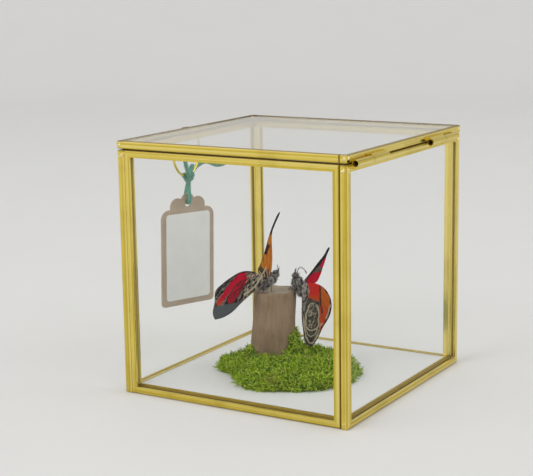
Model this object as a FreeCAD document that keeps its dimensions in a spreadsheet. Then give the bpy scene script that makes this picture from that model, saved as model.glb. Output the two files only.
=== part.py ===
# Glass keepsake box: brass channel frames round six panes, a hinged lid with a ring pull,
# a tag tied to the ring, and a display of two butterflies on a mossy stump inside.
# Frame: millimetres, +Z up, origin under the middle of the base, ring side at -Y, hinges at +Y.
import FreeCAD, Part
import math
import os

import Sketcher

Vector, Rotation, Placement = FreeCAD.Vector, FreeCAD.Rotation, FreeCAD.Placement
X, Y, Z = Vector(1, 0, 0), Vector(0, 1, 0), Vector(0, 0, 1)

doc = FreeCAD.newDocument("card_box")
sheet = doc.addObject("Spreadsheet::Sheet", "Sizes")

# Driving sizes: each has its own cell and alias
DRIVING = {
    # box
    "box_width": 127.0,
    "box_depth": 127.0,
    "box_height": 128.0,
    "lid_gap": 0.6,
    # panes and the channel that holds their edges
    "pane_thickness": 2.0,
    "pane_play": 0.1,
    "channel_wall": 0.9,
    "channel_depth": 3.4,
    "channel_round": 0.8,
    "lip_depth": 1.5,
    "lip_thickness": 0.3,
    # two hinges of tube on the back edge
    "hinge_inset": 23.0,
    "hinge_shift": 2.4,
    "knuckle_length": 16.0,
    "knuckle_gap": 0.3,
    "tube_radius": 1.8,
    "tube_standoff": 0.1,
    "web_height": 2.4,
    "pin_radius": 1.3,
    "pin_clearance": 0.05,
    "pin_recess": 4.5,
    # ring pull and its eye on the front edge of the lid
    "eye_length": 4.0,
    "eye_radius": 1.7,
    "eye_standoff": 0.8,
    "eye_web_height": 1.8,
    "ring_radius": 12.0,
    "wire_radius": 0.65,
    "wire_play": 0.35,
    # string: its knot turns round the axis that the tag swings on
    "cord_radius": 1.1,
    "knot_side": 0.9,
    "knot_drop": 0.8,
    "knot_radius": 2.8,
    "knot_swell": 0.4,
    "knot_half_length": 3.4,
    "knot_fit": 0.1,
    # tag and its label
    "tag_width": 36.0,
    "tag_body_height": 52.5,
    "tag_thickness": 0.8,
    "tag_angle": 16.6,
    "tag_lean_angle": 1.6,
    "tag_side": 2.3,
    "tag_stand": 2.3,
    "tag_drop": 15.0,
    "corner_radius": 2.5,
    "shoulder_radius": 5.0,
    "hole_radius": 1.9,
    "hole_rise": 2.7,
    "middle_lobe_radius": 4.6,
    "middle_lobe_rise": 1.0,
    "side_lobe_radius": 4.8,
    "side_lobe_offset": 7.0,
    "side_lobe_rise": 1.2,
    "label_width": 30.0,
    "label_height": 47.0,
    "label_thickness": 0.3,
    "label_margin": 3.1,
    "label_corner": 2.0,
    # display: a leaning stump in a mound of moss, seen square on at this turn
    "display_angle": 120.95,
    "stump_x": 6.4,
    "stump_y": -10.7,
    "stump_height": 43.3,
    "stump_base_radius": 11.4,
    "stump_top_radius": 10.2,
    "stump_lean": 2.2,
    "moss_length": 75.0,
    "moss_breadth": 66.0,
    "moss_height": 12.5,
    "moss_rim": 3.5,
    "bank_height": 22.0,
    "bank_length": 9.0,
    "bank_breadth": 16.0,
    "bank_shift": 10.5,
    "moss_shift_along": 8.0,
    "moss_shift_out": 7.0,
    "moss_clearance": 0.3,
    # butterflies
    "insect_radius": 2.8,
    "insect_drop": 2.0,
    "insect_length": 15.2,
    "leg_radius": 0.25,
    "foot_step": 4.5,
    "foot_width": 1.2,
    "wing_thickness": 0.35,
    "wing_gap": 0.2,
    "wing_angle": 5.0,
    "feeler_radius": 0.25,
    "feeler_length": 5.0,
    "feeler_angle": 14.0,
    "feeler_aim": 0.25,
    "left_angle": 45.0,
    "left_along": -3.7,
    "left_out": 6.0,
    "left_rise": 8.1,
    "left_foot": -6.0,
    "left_reach": 35.0,
    "right_angle": 105.0,
    "right_along": 13.5,
    "right_out": 2.0,
    "right_rise": 4.2,
    "right_foot": 8.5,
    "right_reach": 35.0,
}

# Sizes that follow from the driving ones, kept as formulas in the same sheet
DERIVED = {
    "channel_thickness": "=pane_thickness + 2 * (pane_play + channel_wall)",
    "slot_width": "=pane_thickness + 2 * pane_play",
    "pane_inset": "=channel_wall + pane_play",
    "lipped_rise": "=(channel_thickness - pane_thickness) / 2 - lip_thickness - pane_play",
    "wall_height": "=box_height - channel_thickness - lid_gap",
    "inner_width": "=box_width - 2 * channel_thickness",
    "inner_depth": "=box_depth - 2 * channel_thickness",
    "wall_middle_x": "=(box_width - channel_thickness) / 2",
    "wall_middle_y": "=(box_depth - channel_thickness) / 2",
    "floor_height": "=channel_thickness - lip_thickness - pane_play",
    "hinge_y": "=box_depth / 2 + tube_standoff + tube_radius",
    "hinge_z": "=wall_height + lid_gap / 2",
    "hinge_middle": "=box_width / 2 - hinge_inset",
    "bore_radius": "=pin_radius + pin_clearance",
    "eye_y": "=-(box_depth / 2 + eye_standoff + eye_radius)",
    "eye_z": "=box_height - channel_thickness / 2",
    "eye_bore_radius": "=wire_radius + wire_play",
    "ring_z": "=eye_z - ring_radius",
    "knot_z": "=ring_z - ring_radius - knot_drop",
    "stump_top_z": "=floor_height + stump_height",
}


def fill_sheet():
    """Writes the driving numbers and the derived formulas, one alias for each row."""
    rows = [(alias, str(number)) for alias, number in DRIVING.items()]
    rows += list(DERIVED.items())
    for row, (alias, text) in enumerate(rows, start=1):
        sheet.set(f"A{row}", alias)
        sheet.set(f"B{row}", text)
        sheet.setAlias(f"B{row}", alias)
    doc.recompute()


fill_sheet()
nodes = []


def number(alias):
    """The value that the sheet holds for an alias."""
    return float(sheet.get(alias))


def add(kind, name, **formulas):
    """A document object whose properties follow formulas on the sheet."""
    thing = doc.addObject(kind, name)
    for prop, formula in formulas.items():
        thing.setExpression(prop, formula)
    return thing


def put(thing, x="0", y="0", z="0", rotation=None):
    """Places an object: a fixed rotation, and a position that follows formulas."""
    thing.Placement = Placement(Vector(), rotation or Rotation())
    for axis, formula in zip("xyz", (x, y, z)):
        thing.setExpression(f"Placement.Base.{axis}", formula)
    return thing


def block(name, size, corner):
    """A box from its three sizes and its low corner, all formulas."""
    thing = add("Part::Box", name, Length=size[0], Width=size[1], Height=size[2])
    return put(thing, *corner)


def rod(name, radius, length, start, rotation):
    """A cylinder whose own Z is turned to the wanted direction."""
    return put(add("Part::Cylinder", name, Radius=radius, Height=length), *start, rotation)


def fuse(name, pieces):
    """Several shapes joined into one."""
    thing = doc.addObject("Part::MultiFuse", name)
    thing.Shapes = pieces
    thing.Refine = True
    return thing


def cut(name, base, tool):
    """One shape less another."""
    thing = doc.addObject("Part::Cut", name)
    thing.Base = base
    thing.Tool = tool
    return thing


def solid(name, shape, placement=None):
    """A piece whose shape is worked out here from the sheet's values."""
    thing = doc.addObject("Part::Feature", name)
    thing.Shape = shape
    thing.Placement = placement or Placement()
    return thing


def node(label, thing):
    """Names a finished piece and lists it for writing."""
    thing.Label = label
    nodes.append(thing)
    return thing


ALONG_X = Rotation(Y, 90)
ALONG_Y = Rotation(X, -90)


# Channel strips: a mitred bar, a slot for the pane and rounded outer edges
def closed_sketch(body, role, corners):
    """A closed outline of straight lines whose corners follow formulas."""
    sketch = body.newObject("Sketcher::SketchObject", f"{body.Name}_{role}")
    plane = next(f for f in body.Origin.OriginFeatures if f.Role == role)
    sketch.AttachmentSupport = (plane, [""])
    sketch.MapMode = "FlatFace"
    count = len(corners)
    turns = [2 * math.pi * i / count for i in range(count)]
    rough = [Vector(math.cos(turn), math.sin(turn), 0) for turn in turns]
    for i in range(count):
        sketch.addGeometry(Part.LineSegment(rough[i], rough[(i + 1) % count]), False)
    for i in range(count):
        sketch.addConstraint(Sketcher.Constraint("Coincident", i, 2, (i + 1) % count, 1))
    for i, corner in enumerate(corners):
        for direction, formula in zip(("DistanceX", "DistanceY"), corner):
            held = sketch.addConstraint(Sketcher.Constraint(direction, -1, 1, i, 1, 1.0))
            sketch.setExpression(f"Constraints[{held}]", formula)
    return sketch


def outer_edges(shape, thickness):
    """Names of the two long edges on the back of a strip."""
    tolerance = 1e-6
    found = []
    for i, edge in enumerate(shape.Edges, start=1):
        ends = [vertex.Point for vertex in edge.Vertexes]
        on_back = all(abs(p.y) < tolerance for p in ends)
        on_side = all(abs(abs(p.z) - thickness / 2) < tolerance for p in ends)
        if on_back and on_side and abs(ends[0].x - ends[1].x) > thickness:
            found.append(f"Edge{i}")
    return found


# Sections of the slot: a plain groove for the walls, and a seat under a narrow lip for the lid and base
GROOVE = [
    ("Sizes.channel_wall", "-Sizes.slot_width/2"),
    ("2*Sizes.channel_depth", "-Sizes.slot_width/2"),
    ("2*Sizes.channel_depth", "Sizes.slot_width/2"),
    ("Sizes.channel_wall", "Sizes.slot_width/2"),
]
LIPPED_SEAT = [
    ("Sizes.channel_wall", "Sizes.lipped_rise - Sizes.slot_width/2"),
    ("2*Sizes.channel_depth", "Sizes.lipped_rise - Sizes.slot_width/2"),
    ("2*Sizes.channel_depth", "Sizes.channel_thickness"),
    ("Sizes.lip_depth", "Sizes.channel_thickness"),
    ("Sizes.lip_depth", "Sizes.lipped_rise + Sizes.slot_width/2"),
    ("Sizes.channel_wall", "Sizes.lipped_rise + Sizes.slot_width/2"),
]


def channel_strip(label, length, section):
    """One strip along its own X, with its slot open towards +Y."""
    body = doc.addObject("PartDesign::Body", label)
    deep = "Sizes.channel_depth"
    bar = body.newObject("PartDesign::Pad", f"{label}_bar")
    bar.Profile = closed_sketch(body, "XY_Plane", [
        (f"-{length}/2", "0"),
        (f"{length}/2", "0"),
        (f"{length}/2 - {deep}", deep),
        (f"{deep} - {length}/2", deep),
    ])
    bar.SideType = "Symmetric"
    bar.setExpression("Length", "Sizes.channel_thickness")
    slot = body.newObject("PartDesign::Pocket", f"{label}_slot")
    slot.Profile = closed_sketch(body, "YZ_Plane", section)
    slot.SideType = "Symmetric"
    slot.Type = "ThroughAll"
    doc.recompute()
    if slot.Shape.Volume >= bar.Shape.Volume:
        raise RuntimeError(f"{label}: the slot cut nothing")
    rounding = body.newObject("PartDesign::Fillet", f"{label}_round")
    rounding.Base = (slot, outer_edges(slot.Shape, number("channel_thickness")))
    rounding.setExpression("Radius", "Sizes.channel_round")
    body.Tip = rounding
    return node(label, body)


def shifted(centre, direction, half):
    """Formulas for a point half a span away from a centre along a row axis."""
    steps = (round(direction.x), round(direction.y), round(direction.z))
    return [f"{c} + {step}*({half})" if step else c for c, step in zip(centre, steps)]


def framed_pane(panel, pane, centre, across, up, width, height, sides, section=GROOVE, rise="0"):
    """A pane with its four strips. across and up are the row axes of the panel."""
    normal = across.cross(up)
    lengths = {"across": width, "up": height}
    edges = [
        (sides[0], across, up, "across", up * -1, height),
        (sides[1], across * -1, up * -1, "across", up, height),
        (sides[2], up * -1, across, "up", across * -1, width),
        (sides[3], up, across * -1, "up", across, width),
    ]
    for side, along, inward, run, outward, span in edges:
        strip = channel_strip(f"{panel}_{side}_channel", lengths[run], section)
        place = shifted(centre, outward, f"{span}/2")
        put(strip, *place, Rotation(along, inward, normal, "ZXY"))
    glass = add(
        "Part::Box",
        pane,
        Length=f"{width} - 2*Sizes.pane_inset",
        Width=f"{height} - 2*Sizes.pane_inset",
        Height="Sizes.pane_thickness",
    )
    low = shifted(centre, across * -1, f"{width}/2 - Sizes.pane_inset")
    low = shifted(low, up * -1, f"{height}/2 - Sizes.pane_inset")
    low = shifted(low, normal * -1, f"Sizes.pane_thickness/2 - {rise}")
    node(pane, put(glass, *low, Rotation(across, up, normal, "ZXY")))


def build_panels():
    """Front and back run the full width, the sides and base fit between, the lid covers all."""
    upright = ("bottom", "top")
    half_wall = "Sizes.wall_height/2"
    for panel, sign in (("front", "-"), ("back", "")):
        centre = ["0", f"{sign}Sizes.wall_middle_y", half_wall]
        size = ("Sizes.box_width", "Sizes.wall_height")
        framed_pane(panel, f"{panel}_glass", centre, X, Z, *size, upright + ("left", "right"))
    for panel, sign in (("left", "-"), ("right", "")):
        centre = [f"{sign}Sizes.wall_middle_x", "0", half_wall]
        size = ("Sizes.inner_depth", "Sizes.wall_height")
        framed_pane(panel, f"{panel}_glass", centre, Y, Z, *size, upright + ("front", "back"))
    level = ("front", "back", "left", "right")
    seat = (LIPPED_SEAT, "Sizes.lipped_rise")
    base = ["0", "0", "Sizes.channel_thickness/2"]
    size = ("Sizes.inner_width", "Sizes.inner_depth")
    framed_pane("base", "base_panel", base, X, Y, *size, level, *seat)
    lid = ["0", "0", "Sizes.eye_z"]
    size = ("Sizes.box_width", "Sizes.box_depth")
    framed_pane("lid", "lid_glass", lid, X, Y, *size, level, *seat)


# Hinges: a body knuckle outside, a lid knuckle inside, one pin through both
def knuckle(label, low_x, web_low):
    """A tube along X with a web that bridges to the face of the rail behind it."""
    length = "Sizes.knuckle_length"
    axis = (low_x, "Sizes.hinge_y", "Sizes.hinge_z")
    tube = rod(f"{label}_tube", "Sizes.tube_radius", length, axis, ALONG_X)
    size = (length, "Sizes.tube_standoff + Sizes.tube_radius", "Sizes.web_height")
    web = block(f"{label}_web", size, (low_x, "Sizes.box_depth/2", web_low))
    bore = rod(f"{label}_bore", "Sizes.bore_radius", length, axis, ALONG_X)
    return node(label, cut(f"{label}_cut", fuse(f"{label}_blank", [tube, web]), bore))


def build_hinges():
    """A pair of hinges, mirror images of each other, set a little to one side of the middle."""
    far = "(Sizes.hinge_middle + Sizes.knuckle_gap/2)"
    near = "(Sizes.hinge_middle - Sizes.knuckle_gap/2)"
    length = "Sizes.knuckle_length"
    below, above = "Sizes.hinge_z - Sizes.web_height", "Sizes.hinge_z"
    shift = "Sizes.hinge_shift"
    knuckle("right_body_knuckle", f"{shift} + {far}", below)
    knuckle("right_lid_knuckle", f"{shift} + {near} - {length}", above)
    knuckle("left_body_knuckle", f"{shift} - {far} - {length}", below)
    knuckle("left_lid_knuckle", f"{shift} - {near}", above)
    pin_length = f"2*{length} + Sizes.knuckle_gap - 2*Sizes.pin_recess"
    for side, sign in (("right", "+"), ("left", "-")):
        start = f"{shift} {sign} Sizes.hinge_middle - ({pin_length})/2"
        axis = (start, "Sizes.hinge_y", "Sizes.hinge_z")
        label = f"{side}_hinge_pin"
        node(label, rod(label, "Sizes.pin_radius", pin_length, axis, ALONG_X))


# Ring pull: a wire ring that swings in a short eye on the lid's front rail
def build_ring():
    """The eye and the ring, hanging straight down in front of the glass."""
    length = "Sizes.eye_length"
    axis = (f"-{length}/2", "Sizes.eye_y", "Sizes.eye_z")
    tube = rod("eye_tube", "Sizes.eye_radius", length, axis, ALONG_X)
    size = (length, "Sizes.eye_standoff + Sizes.eye_radius", "Sizes.eye_web_height")
    low = (f"-{length}/2", "Sizes.eye_y", "Sizes.eye_z - Sizes.eye_web_height/2")
    blank = fuse("eye_blank", [tube, block("eye_web", size, low)])
    bore = rod("eye_bore", "Sizes.eye_bore_radius", length, axis, ALONG_X)
    node("ring_eye", cut("ring_eye", blank, bore))
    ring = add("Part::Torus", "ring", Radius1="Sizes.ring_radius", Radius2="Sizes.wire_radius")
    node("ring_pull", put(ring, "0", "Sizes.eye_y", "Sizes.ring_z", ALONG_Y))


# String: tubes of straight runs and tangent arcs
ARC_SHARE = 0.45


def bent_line(points, label):
    """A wire of straight runs joined by arcs as large as the runs allow."""
    edges = []
    start = points[0]
    radii = []
    for before, corner, after in zip(points, points[1:], points[2:]):
        back, ahead = before - corner, after - corner
        turn = math.pi - back.getAngle(ahead)
        reach = ARC_SHARE * min(back.Length, ahead.Length)
        radii.append(reach / math.tan(turn / 2))
        first = corner + back.normalize() * reach
        last = corner + ahead.normalize() * reach
        middle = (back + ahead).normalize()
        rise = radii[-1] / math.cos(turn / 2) - radii[-1]
        edges.append(Part.LineSegment(start, first).toShape())
        edges.append(Part.Arc(first, corner + middle * rise, last).toShape())
        start = last
    edges.append(Part.LineSegment(start, points[-1]).toShape())
    print(label, "bend radii, mm:", [round(radius, 1) for radius in radii])
    return Part.Wire(edges)


def tube_along(points, radius, label):
    """A round tube along a bent line; its volume is compared with section times length."""
    path = bent_line(points, label)
    ring = Part.Wire(Part.makeCircle(radius, points[0], points[1] - points[0]))
    tube = path.makePipeShell([ring], True, True)
    expected = math.pi * radius**2 * path.Length
    print(label, "length, mm:", round(path.Length, 1), "volume share:", round(tube.Volume / expected, 4))
    return tube


def knot_place():
    """Where the knot sits: on the ring, a little to one side of its lowest point."""
    return Vector(-number("knot_side"), number("eye_y"), number("knot_z"))


def hole_place():
    """The hole of the tag, turned about the vertical as the tag is."""
    offset = Vector(-number("tag_side"), -number("tag_stand"), -number("tag_drop"))
    return Placement(knot_place() + offset, Rotation(Z, -number("tag_angle")))


def tag_place():
    """The tag round its hole, leaning a little to one side."""
    return hole_place().multiply(Placement(Vector(), Rotation(Y, -number("tag_lean_angle"))))


# Both tails, from the upright end, under the ring and out to the side: steps from the knot's middle
TAIL_POINTS = [
    (5.1, 1.4, 14.9),
    (4.8, 1.5, 9.9),
    (3.7, 1.9, 5.0),
    (1.9, 2.1, 0.6),
    (-0.9, 0.1, -2.2),
    (-4.5, -1.8, 0.2),
    (-9.0, -1.8, 3.0),
    (-14.0, -1.6, 5.0),
    (-19.0, -1.5, 5.6),
    (-24.5, -1.5, 4.3),
    (-29.5, -1.4, 2.2),
    (-34.0, -1.4, 1.7),
    (-38.5, -1.5, 2.0),
]
# The loop through the tag, from knot to knot: steps from the middle of the hole, turned with it
LOOP_POINTS = [
    (1.4, 2.1, 11.9),
    (0.8, 2.5, 7.0),
    (0.0, 2.2, 0.5),
    (0.0, -2.2, 0.5),
    (-0.2, -1.8, 6.6),
    (-0.4, 1.2, 11.8),
]


def build_string():
    """The tied tails and knot stay on the ring, the loop swings with the tag."""
    radius = number("cord_radius")
    fit = number("knot_fit")
    place = knot_place()
    tails = [place + Vector(*step) for step in TAIL_POINTS]
    node("string_tails", solid("string_tails", tube_along(tails, radius, "string_tails")))
    hole = hole_place()
    loop = [hole.multVec(Vector(*step)) for step in LOOP_POINTS]
    node("string_loop", solid("string_loop", tube_along(loop, radius, "string_loop")))
    ball = add(
        "Part::Ellipsoid",
        "knot_ball",
        Radius1="Sizes.knot_radius + Sizes.knot_swell",
        Radius2="Sizes.knot_half_length",
        Radius3="Sizes.knot_radius + Sizes.knot_swell",
    )
    put(ball, "-Sizes.knot_side", "Sizes.eye_y", "Sizes.knot_z", ALONG_X)
    start = ("-Sizes.knot_side - Sizes.knot_half_length", "Sizes.eye_y", "Sizes.knot_z")
    barrel = rod("knot_barrel", "Sizes.knot_radius", "2*Sizes.knot_half_length", start, ALONG_X)
    knot = doc.addObject("Part::MultiCommon", "knot_blank")
    knot.Shapes = [ball, barrel]
    wire_hole = add("Part::Torus", "wire_hole", Radius1="Sizes.ring_radius")
    wire_hole.setExpression("Radius2", "Sizes.wire_radius + Sizes.knot_fit")
    put(wire_hole, "0", "Sizes.eye_y", "Sizes.ring_z", ALONG_Y)
    tail_hole = solid("tail_hole", tube_along(tails, radius + fit, "tail_hole"))
    node("string_knot", cut("string_knot", cut("knot_on_ring", knot, wire_hole), tail_hole))


# Tag: a card with round corners, a scalloped head of three lobes and a hole, and a label on it
def disc(name, radius, x, z):
    """A round of the tag's own card."""
    thing = add("Part::Cylinder", name, Radius=radius, Height="Sizes.tag_thickness")
    return put(thing, x, "-Sizes.tag_thickness/2", z, ALONG_Y)


def card(name, width, height, low_z):
    """An upright piece of card, centred across the tag."""
    size = (width, "Sizes.tag_thickness", height)
    return block(name, size, (f"-({width})/2", "-Sizes.tag_thickness/2", low_z))


def build_tag():
    """The card and its label, modelled round the hole and then hung from it."""
    top = "-Sizes.hole_rise"
    bottom = f"({top} - Sizes.tag_body_height)"
    corner, shoulder = "Sizes.corner_radius", "Sizes.shoulder_radius"
    wide, tall = "Sizes.tag_width", "Sizes.tag_body_height"
    middle = card("tag_middle", wide, f"{tall} - {corner} - {shoulder}", f"{bottom} + {corner}")
    foot = card("tag_foot", f"{wide} - 2*{corner}", corner, bottom)
    brow = card("tag_brow", f"{wide} - 2*{shoulder}", shoulder, f"{top} - {shoulder}")
    pieces = [middle, foot, brow]
    for side, sign in (("left", "-"), ("right", "")):
        edge = f"{sign}({wide}/2 - {corner})"
        pieces.append(disc(f"tag_corner_{side}", corner, edge, f"{bottom} + {corner}"))
        edge = f"{sign}({wide}/2 - {shoulder})"
        pieces.append(disc(f"tag_shoulder_{side}", shoulder, edge, f"{top} - {shoulder}"))
        lobe = (f"{sign}Sizes.side_lobe_offset", f"{top} + Sizes.side_lobe_rise")
        pieces.append(disc(f"tag_lobe_{side}", "Sizes.side_lobe_radius", *lobe))
    pieces.append(disc("tag_lobe_middle", "Sizes.middle_lobe_radius", "0", "Sizes.middle_lobe_rise"))
    hole = disc("tag_hole", "Sizes.hole_radius", "0", "0")
    tag = cut("tag_card", fuse("tag_blank", pieces), hole)
    tag.Placement = tag_place()
    node("tag_card", tag)
    label = fuse("tag_label", label_pieces())
    label.Placement = tag_place()
    node("tag_label", label)


def label_pieces():
    """The label's two bars and four round corners, on the face of the card that looks to the box."""
    thick, round_off = "Sizes.label_thickness", "Sizes.label_corner"
    wide, tall = "Sizes.label_width", "Sizes.label_height"
    low = "Sizes.label_margin - Sizes.hole_rise - Sizes.tag_body_height"
    face = "Sizes.tag_thickness/2"
    upright = (f"-{wide}/2 + {round_off}", face, low)
    level = (f"-{wide}/2", face, f"{low} + {round_off}")
    pieces = [
        block("label_upright", (f"{wide} - 2*{round_off}", thick, tall), upright),
        block("label_level", (wide, thick, f"{tall} - 2*{round_off}"), level),
    ]
    for side, sign in (("left", "-"), ("right", "")):
        for end, rise in (("low", round_off), ("high", f"{tall} - {round_off}")):
            corner = add("Part::Cylinder", f"label_{side}_{end}", Radius=round_off, Height=thick)
            across = f"{sign}({wide}/2 - {round_off})"
            pieces.append(put(corner, across, face, f"{low} + {rise}", ALONG_Y))
    return pieces


# Display: the stump leans a little, and the moss is a low mound with a hole for it
def display_point(along, out, height):
    """A point from the foot of the stump: along the display, out towards the viewer, and up."""
    turn = Rotation(Z, number("display_angle"))
    return Vector(number("stump_x"), number("stump_y"), 0) + turn.multVec(Vector(along, -out, height))


def round_at(name, radius, centre):
    """A level circle that the stump passes through."""
    circle = add("Part::Circle", name, Radius=radius)
    circle.Placement = Placement(centre, Rotation())
    return circle


def leaning_post(name, extra):
    """A round post from the floor to the top of the stump, leaning as the stump does."""
    floor, top = number("floor_height"), number("stump_top_z")
    foot_centre, head_centre = display_point(0, 0, floor), display_point(number("stump_lean"), 0, top)
    foot = round_at(f"{name}_foot", f"Sizes.stump_base_radius + {extra}", foot_centre)
    head = round_at(f"{name}_head", f"Sizes.stump_top_radius + {extra}", head_centre)
    post = doc.addObject("Part::Loft", name)
    post.Sections = [foot, head]
    post.Solid = True
    post.Ruled = True
    return post


def build_stump_and_moss():
    """Both stand on the base panel; the moss is a mound that banks up one side of the stump."""
    node("stump", leaning_post("stump", "0"))

    turn = Rotation(Z, number("display_angle"))
    floor = number("floor_height")
    centre = display_point(number("moss_shift_along"), number("moss_shift_out"), floor)
    height, rim = number("moss_height"), number("moss_rim")
    layers = [(1.0, 0.0), (0.96, rim), (0.8, (height + rim) / 2), (0.45, height)]
    outlines = []
    for i, (share, rise) in enumerate(layers):
        oval = add(
            "Part::Ellipse",
            f"moss_outline_{i}",
            MajorRadius=f"Sizes.moss_length/2*{share}",
            MinorRadius=f"Sizes.moss_breadth/2*{share}",
        )
        oval.Placement = Placement(centre + Z * rise, turn)
        outlines.append(oval)
    mound = doc.addObject("Part::Loft", "moss_blank")
    mound.Sections = outlines
    mound.Solid = True
    mound.Ruled = True

    half = add("Part::Ellipsoid", "bank_blank", Radius1="Sizes.bank_height")
    half.setExpression("Radius2", "Sizes.bank_length/2")
    half.setExpression("Radius3", "Sizes.bank_breadth/2")
    half.Angle1 = 0.0
    half.Placement = Placement(display_point(number("bank_shift"), 0, floor), turn)
    heap = fuse("moss_heap", [mound, half])
    node("moss_mound", cut("moss", heap, leaning_post("moss_well", "Sizes.moss_clearance")))


# Butterflies: own X runs to the head and own Z to the back; wing outlines are drawn as seen by
# the viewer, across and up from their root on the back, in shares of the insect's wing reach
BODY_PROFILE = [
    (-0.5, 0.0), (-0.45, 0.4), (-0.3, 0.72), (-0.15, 0.78), (0.0, 1.0),
    (0.14, 0.85), (0.2, 0.55), (0.28, 0.62), (0.34, 0.4), (0.38, 0.0),
]
WING_OUTLINES = {
    "left_fore": [
        [(0.0, 0.0), (-0.09, 0.157), (-0.069, 0.291), (-0.026, 0.48), (0.023, 0.649),
         (0.109, 0.857), (0.169, 0.989)],
        [(0.169, 0.989), (0.126, 0.837), (0.074, 0.686), (0.066, 0.571), (0.069, 0.386),
         (0.066, 0.234), (0.043, 0.083), (0.0, 0.0)],
    ],
    "left_hind": [
        [(0.0, 0.0), (-0.157, 0.083), (-0.251, 0.111), (-0.386, 0.103), (-0.534, 0.026),
         (-0.686, -0.089), (-0.76, -0.163), (-0.78, -0.334), (-0.81, -0.53), (-0.78, -0.606)],
        [(-0.78, -0.606), (-0.666, -0.577), (-0.534, -0.5), (-0.414, -0.38), (-0.271, -0.25),
         (-0.171, -0.165), (0.0, 0.0)],
    ],
    "right_fore": [
        [(0.0, 0.0), (0.13, 0.143), (0.257, 0.289), (0.35, 0.42), (0.42, 0.529)],
        [(0.42, 0.529), (0.385, 0.42), (0.349, 0.326), (0.311, 0.231), (0.274, 0.117),
         (0.214, 0.017), (0.094, -0.031), (0.0, 0.0)],
    ],
    "right_hind": [
        [(0.0, 0.0), (0.13, 0.012), (0.266, -0.023), (0.349, -0.089), (0.406, -0.183),
         (0.434, -0.277), (0.426, -0.429), (0.38, -0.543), (0.303, -0.674), (0.226, -0.843),
         (0.134, -0.977)],
        [(0.134, -0.977), (0.057, -0.903), (0.02, -0.711), (0.0, -0.486), (0.005, -0.297),
         (0.0, 0.0)],
    ],
}


def smooth(points):
    """One curve through points given across and up."""
    curve = Part.BSplineCurve()
    curve.interpolate([Vector(x, 0, z) for x, z in points])
    return curve.toShape()


def insect_body(length, radius):
    """Head, chest and tail turned in one piece about own X, from a faceted outline."""
    outline = [Vector(x * length, 0, r * radius) for x, r in BODY_PROFILE]
    face = Part.Face(Part.makePolygon(outline + outline[:1]))
    return face.revolve(Vector(), X, 360)


def wing_plate(edges, reach, thickness):
    """A thin plate between two curved edges that meet at the root and at the tip."""
    curves = [smooth([(a * reach, b * reach) for a, b in edge]) for edge in edges]
    face = Part.Face(Part.Wire(curves))
    face.translate(Y * (-thickness / 2))
    return face.extrude(Y * thickness)


def rod_between(start, end, radius):
    """A thin straight rod between two points."""
    return Part.makeCylinder(radius, start.distanceToPoint(end), start, end - start)


def build_butterfly(side, back_sign, leg_pairs):
    """One insect: body with its legs, four wings and two feelers."""
    tilt = math.radians(number(f"{side}_angle"))
    turn = Rotation(Z, number("display_angle"))
    head = Vector(math.cos(tilt), 0, math.sin(tilt))
    back = Vector(-math.sin(tilt), 0, math.cos(tilt)) * back_sign
    facing = turn.multiply(Rotation(head, back.cross(head), back, "ZXY"))
    lean, top = number("stump_lean"), number("stump_top_z")
    along, out = lean + number(f"{side}_along"), number(f"{side}_out")
    root = display_point(along, out, top + number(f"{side}_rise"))
    chest = root + turn.multVec(back * -number("insect_drop"))

    length, radius = number("insect_length"), number("insect_radius")
    body = insect_body(length, radius)
    body.Placement = Placement(chest, facing)
    legs = []
    leg_radius, step = number("leg_radius"), number("foot_step")
    for pair in range(leg_pairs):
        for sideways in (-number("foot_width"), number("foot_width")):
            hip = chest + turn.multVec(Y * -sideways)
            foot_along = lean + number(f"{side}_foot") + pair * step
            foot = display_point(foot_along, out + sideways, top + 2 * leg_radius)
            legs.append(rod_between(foot, hip, leg_radius))
    node(f"{side}_butterfly_body", solid(f"{side}_body", body.multiFuse(legs)))

    thickness, gap = number("wing_thickness"), number("wing_gap")
    for layer, name in enumerate(("fore", "hind")):
        plate = wing_plate(WING_OUTLINES[f"{side}_{name}"], number(f"{side}_reach"), thickness)
        offset = radius + (gap + thickness) * layer + gap + thickness / 2
        for which, sign in (("near", 1), ("far", -1)):
            lift = Rotation(head, sign * back_sign * number("wing_angle"))
            stand = Placement(Y * (-sign * offset), lift)
            wing = solid(f"{side}_{which}_{name}", plate.copy(), Placement(root, turn).multiply(stand))
            node(f"{side}_{which}_{name}wing", wing)

    feelers = []
    for sign in (-1, 1):
        aim = Rotation(Z, sign * number("feeler_angle")).multVec(number("feeler_aim") * Z + X)
        brow = Vector(BODY_PROFILE[-1][0] * length, 0, radius / 2)
        end = brow + aim.normalize() * number("feeler_length")
        feelers.append(rod_between(brow, end, number("feeler_radius")))
    pair = solid(f"{side}_feelers", Part.makeCompound(feelers), Placement(chest, facing))
    node(f"{side}_butterfly_feelers", pair)


def write_parts():
    """Checks every object, then writes one file for each piece."""
    doc.recompute()
    for thing in doc.Objects:
        if any(word in ("Invalid", "Error") for word in thing.State):
            raise RuntimeError(f"{thing.Label} did not build: {thing.State}")
    for thing in nodes:
        if thing.Shape.isNull() or not thing.Shape.isValid() or not thing.Shape.Solids:
            raise RuntimeError(f"{thing.Label} is not a sound solid")
    os.makedirs("parts", exist_ok=True)
    for thing in nodes:
        thing.Shape.exportStep(f"parts/{thing.Label}.step")
    print(len(nodes), "pieces written")


build_panels()
build_hinges()
build_ring()
build_string()
build_tag()
build_stump_and_moss()
build_butterfly("left", 1, 2)
build_butterfly("right", -1, 1)
write_parts()
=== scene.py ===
# %% [markdown]
# # A glass keepsake box
# Five clear panes and a pale floor are held in brass channel, the lid turns on two hinges, and a card tag
# hangs from a ring pull. Inside, two butterflies sit on a stump in a bed of moss. The rigid pieces keep
# their CAD shape and get a finish here; string, wood, moss and insects get a shape of their own that CAD
# has no good tools for.

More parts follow.
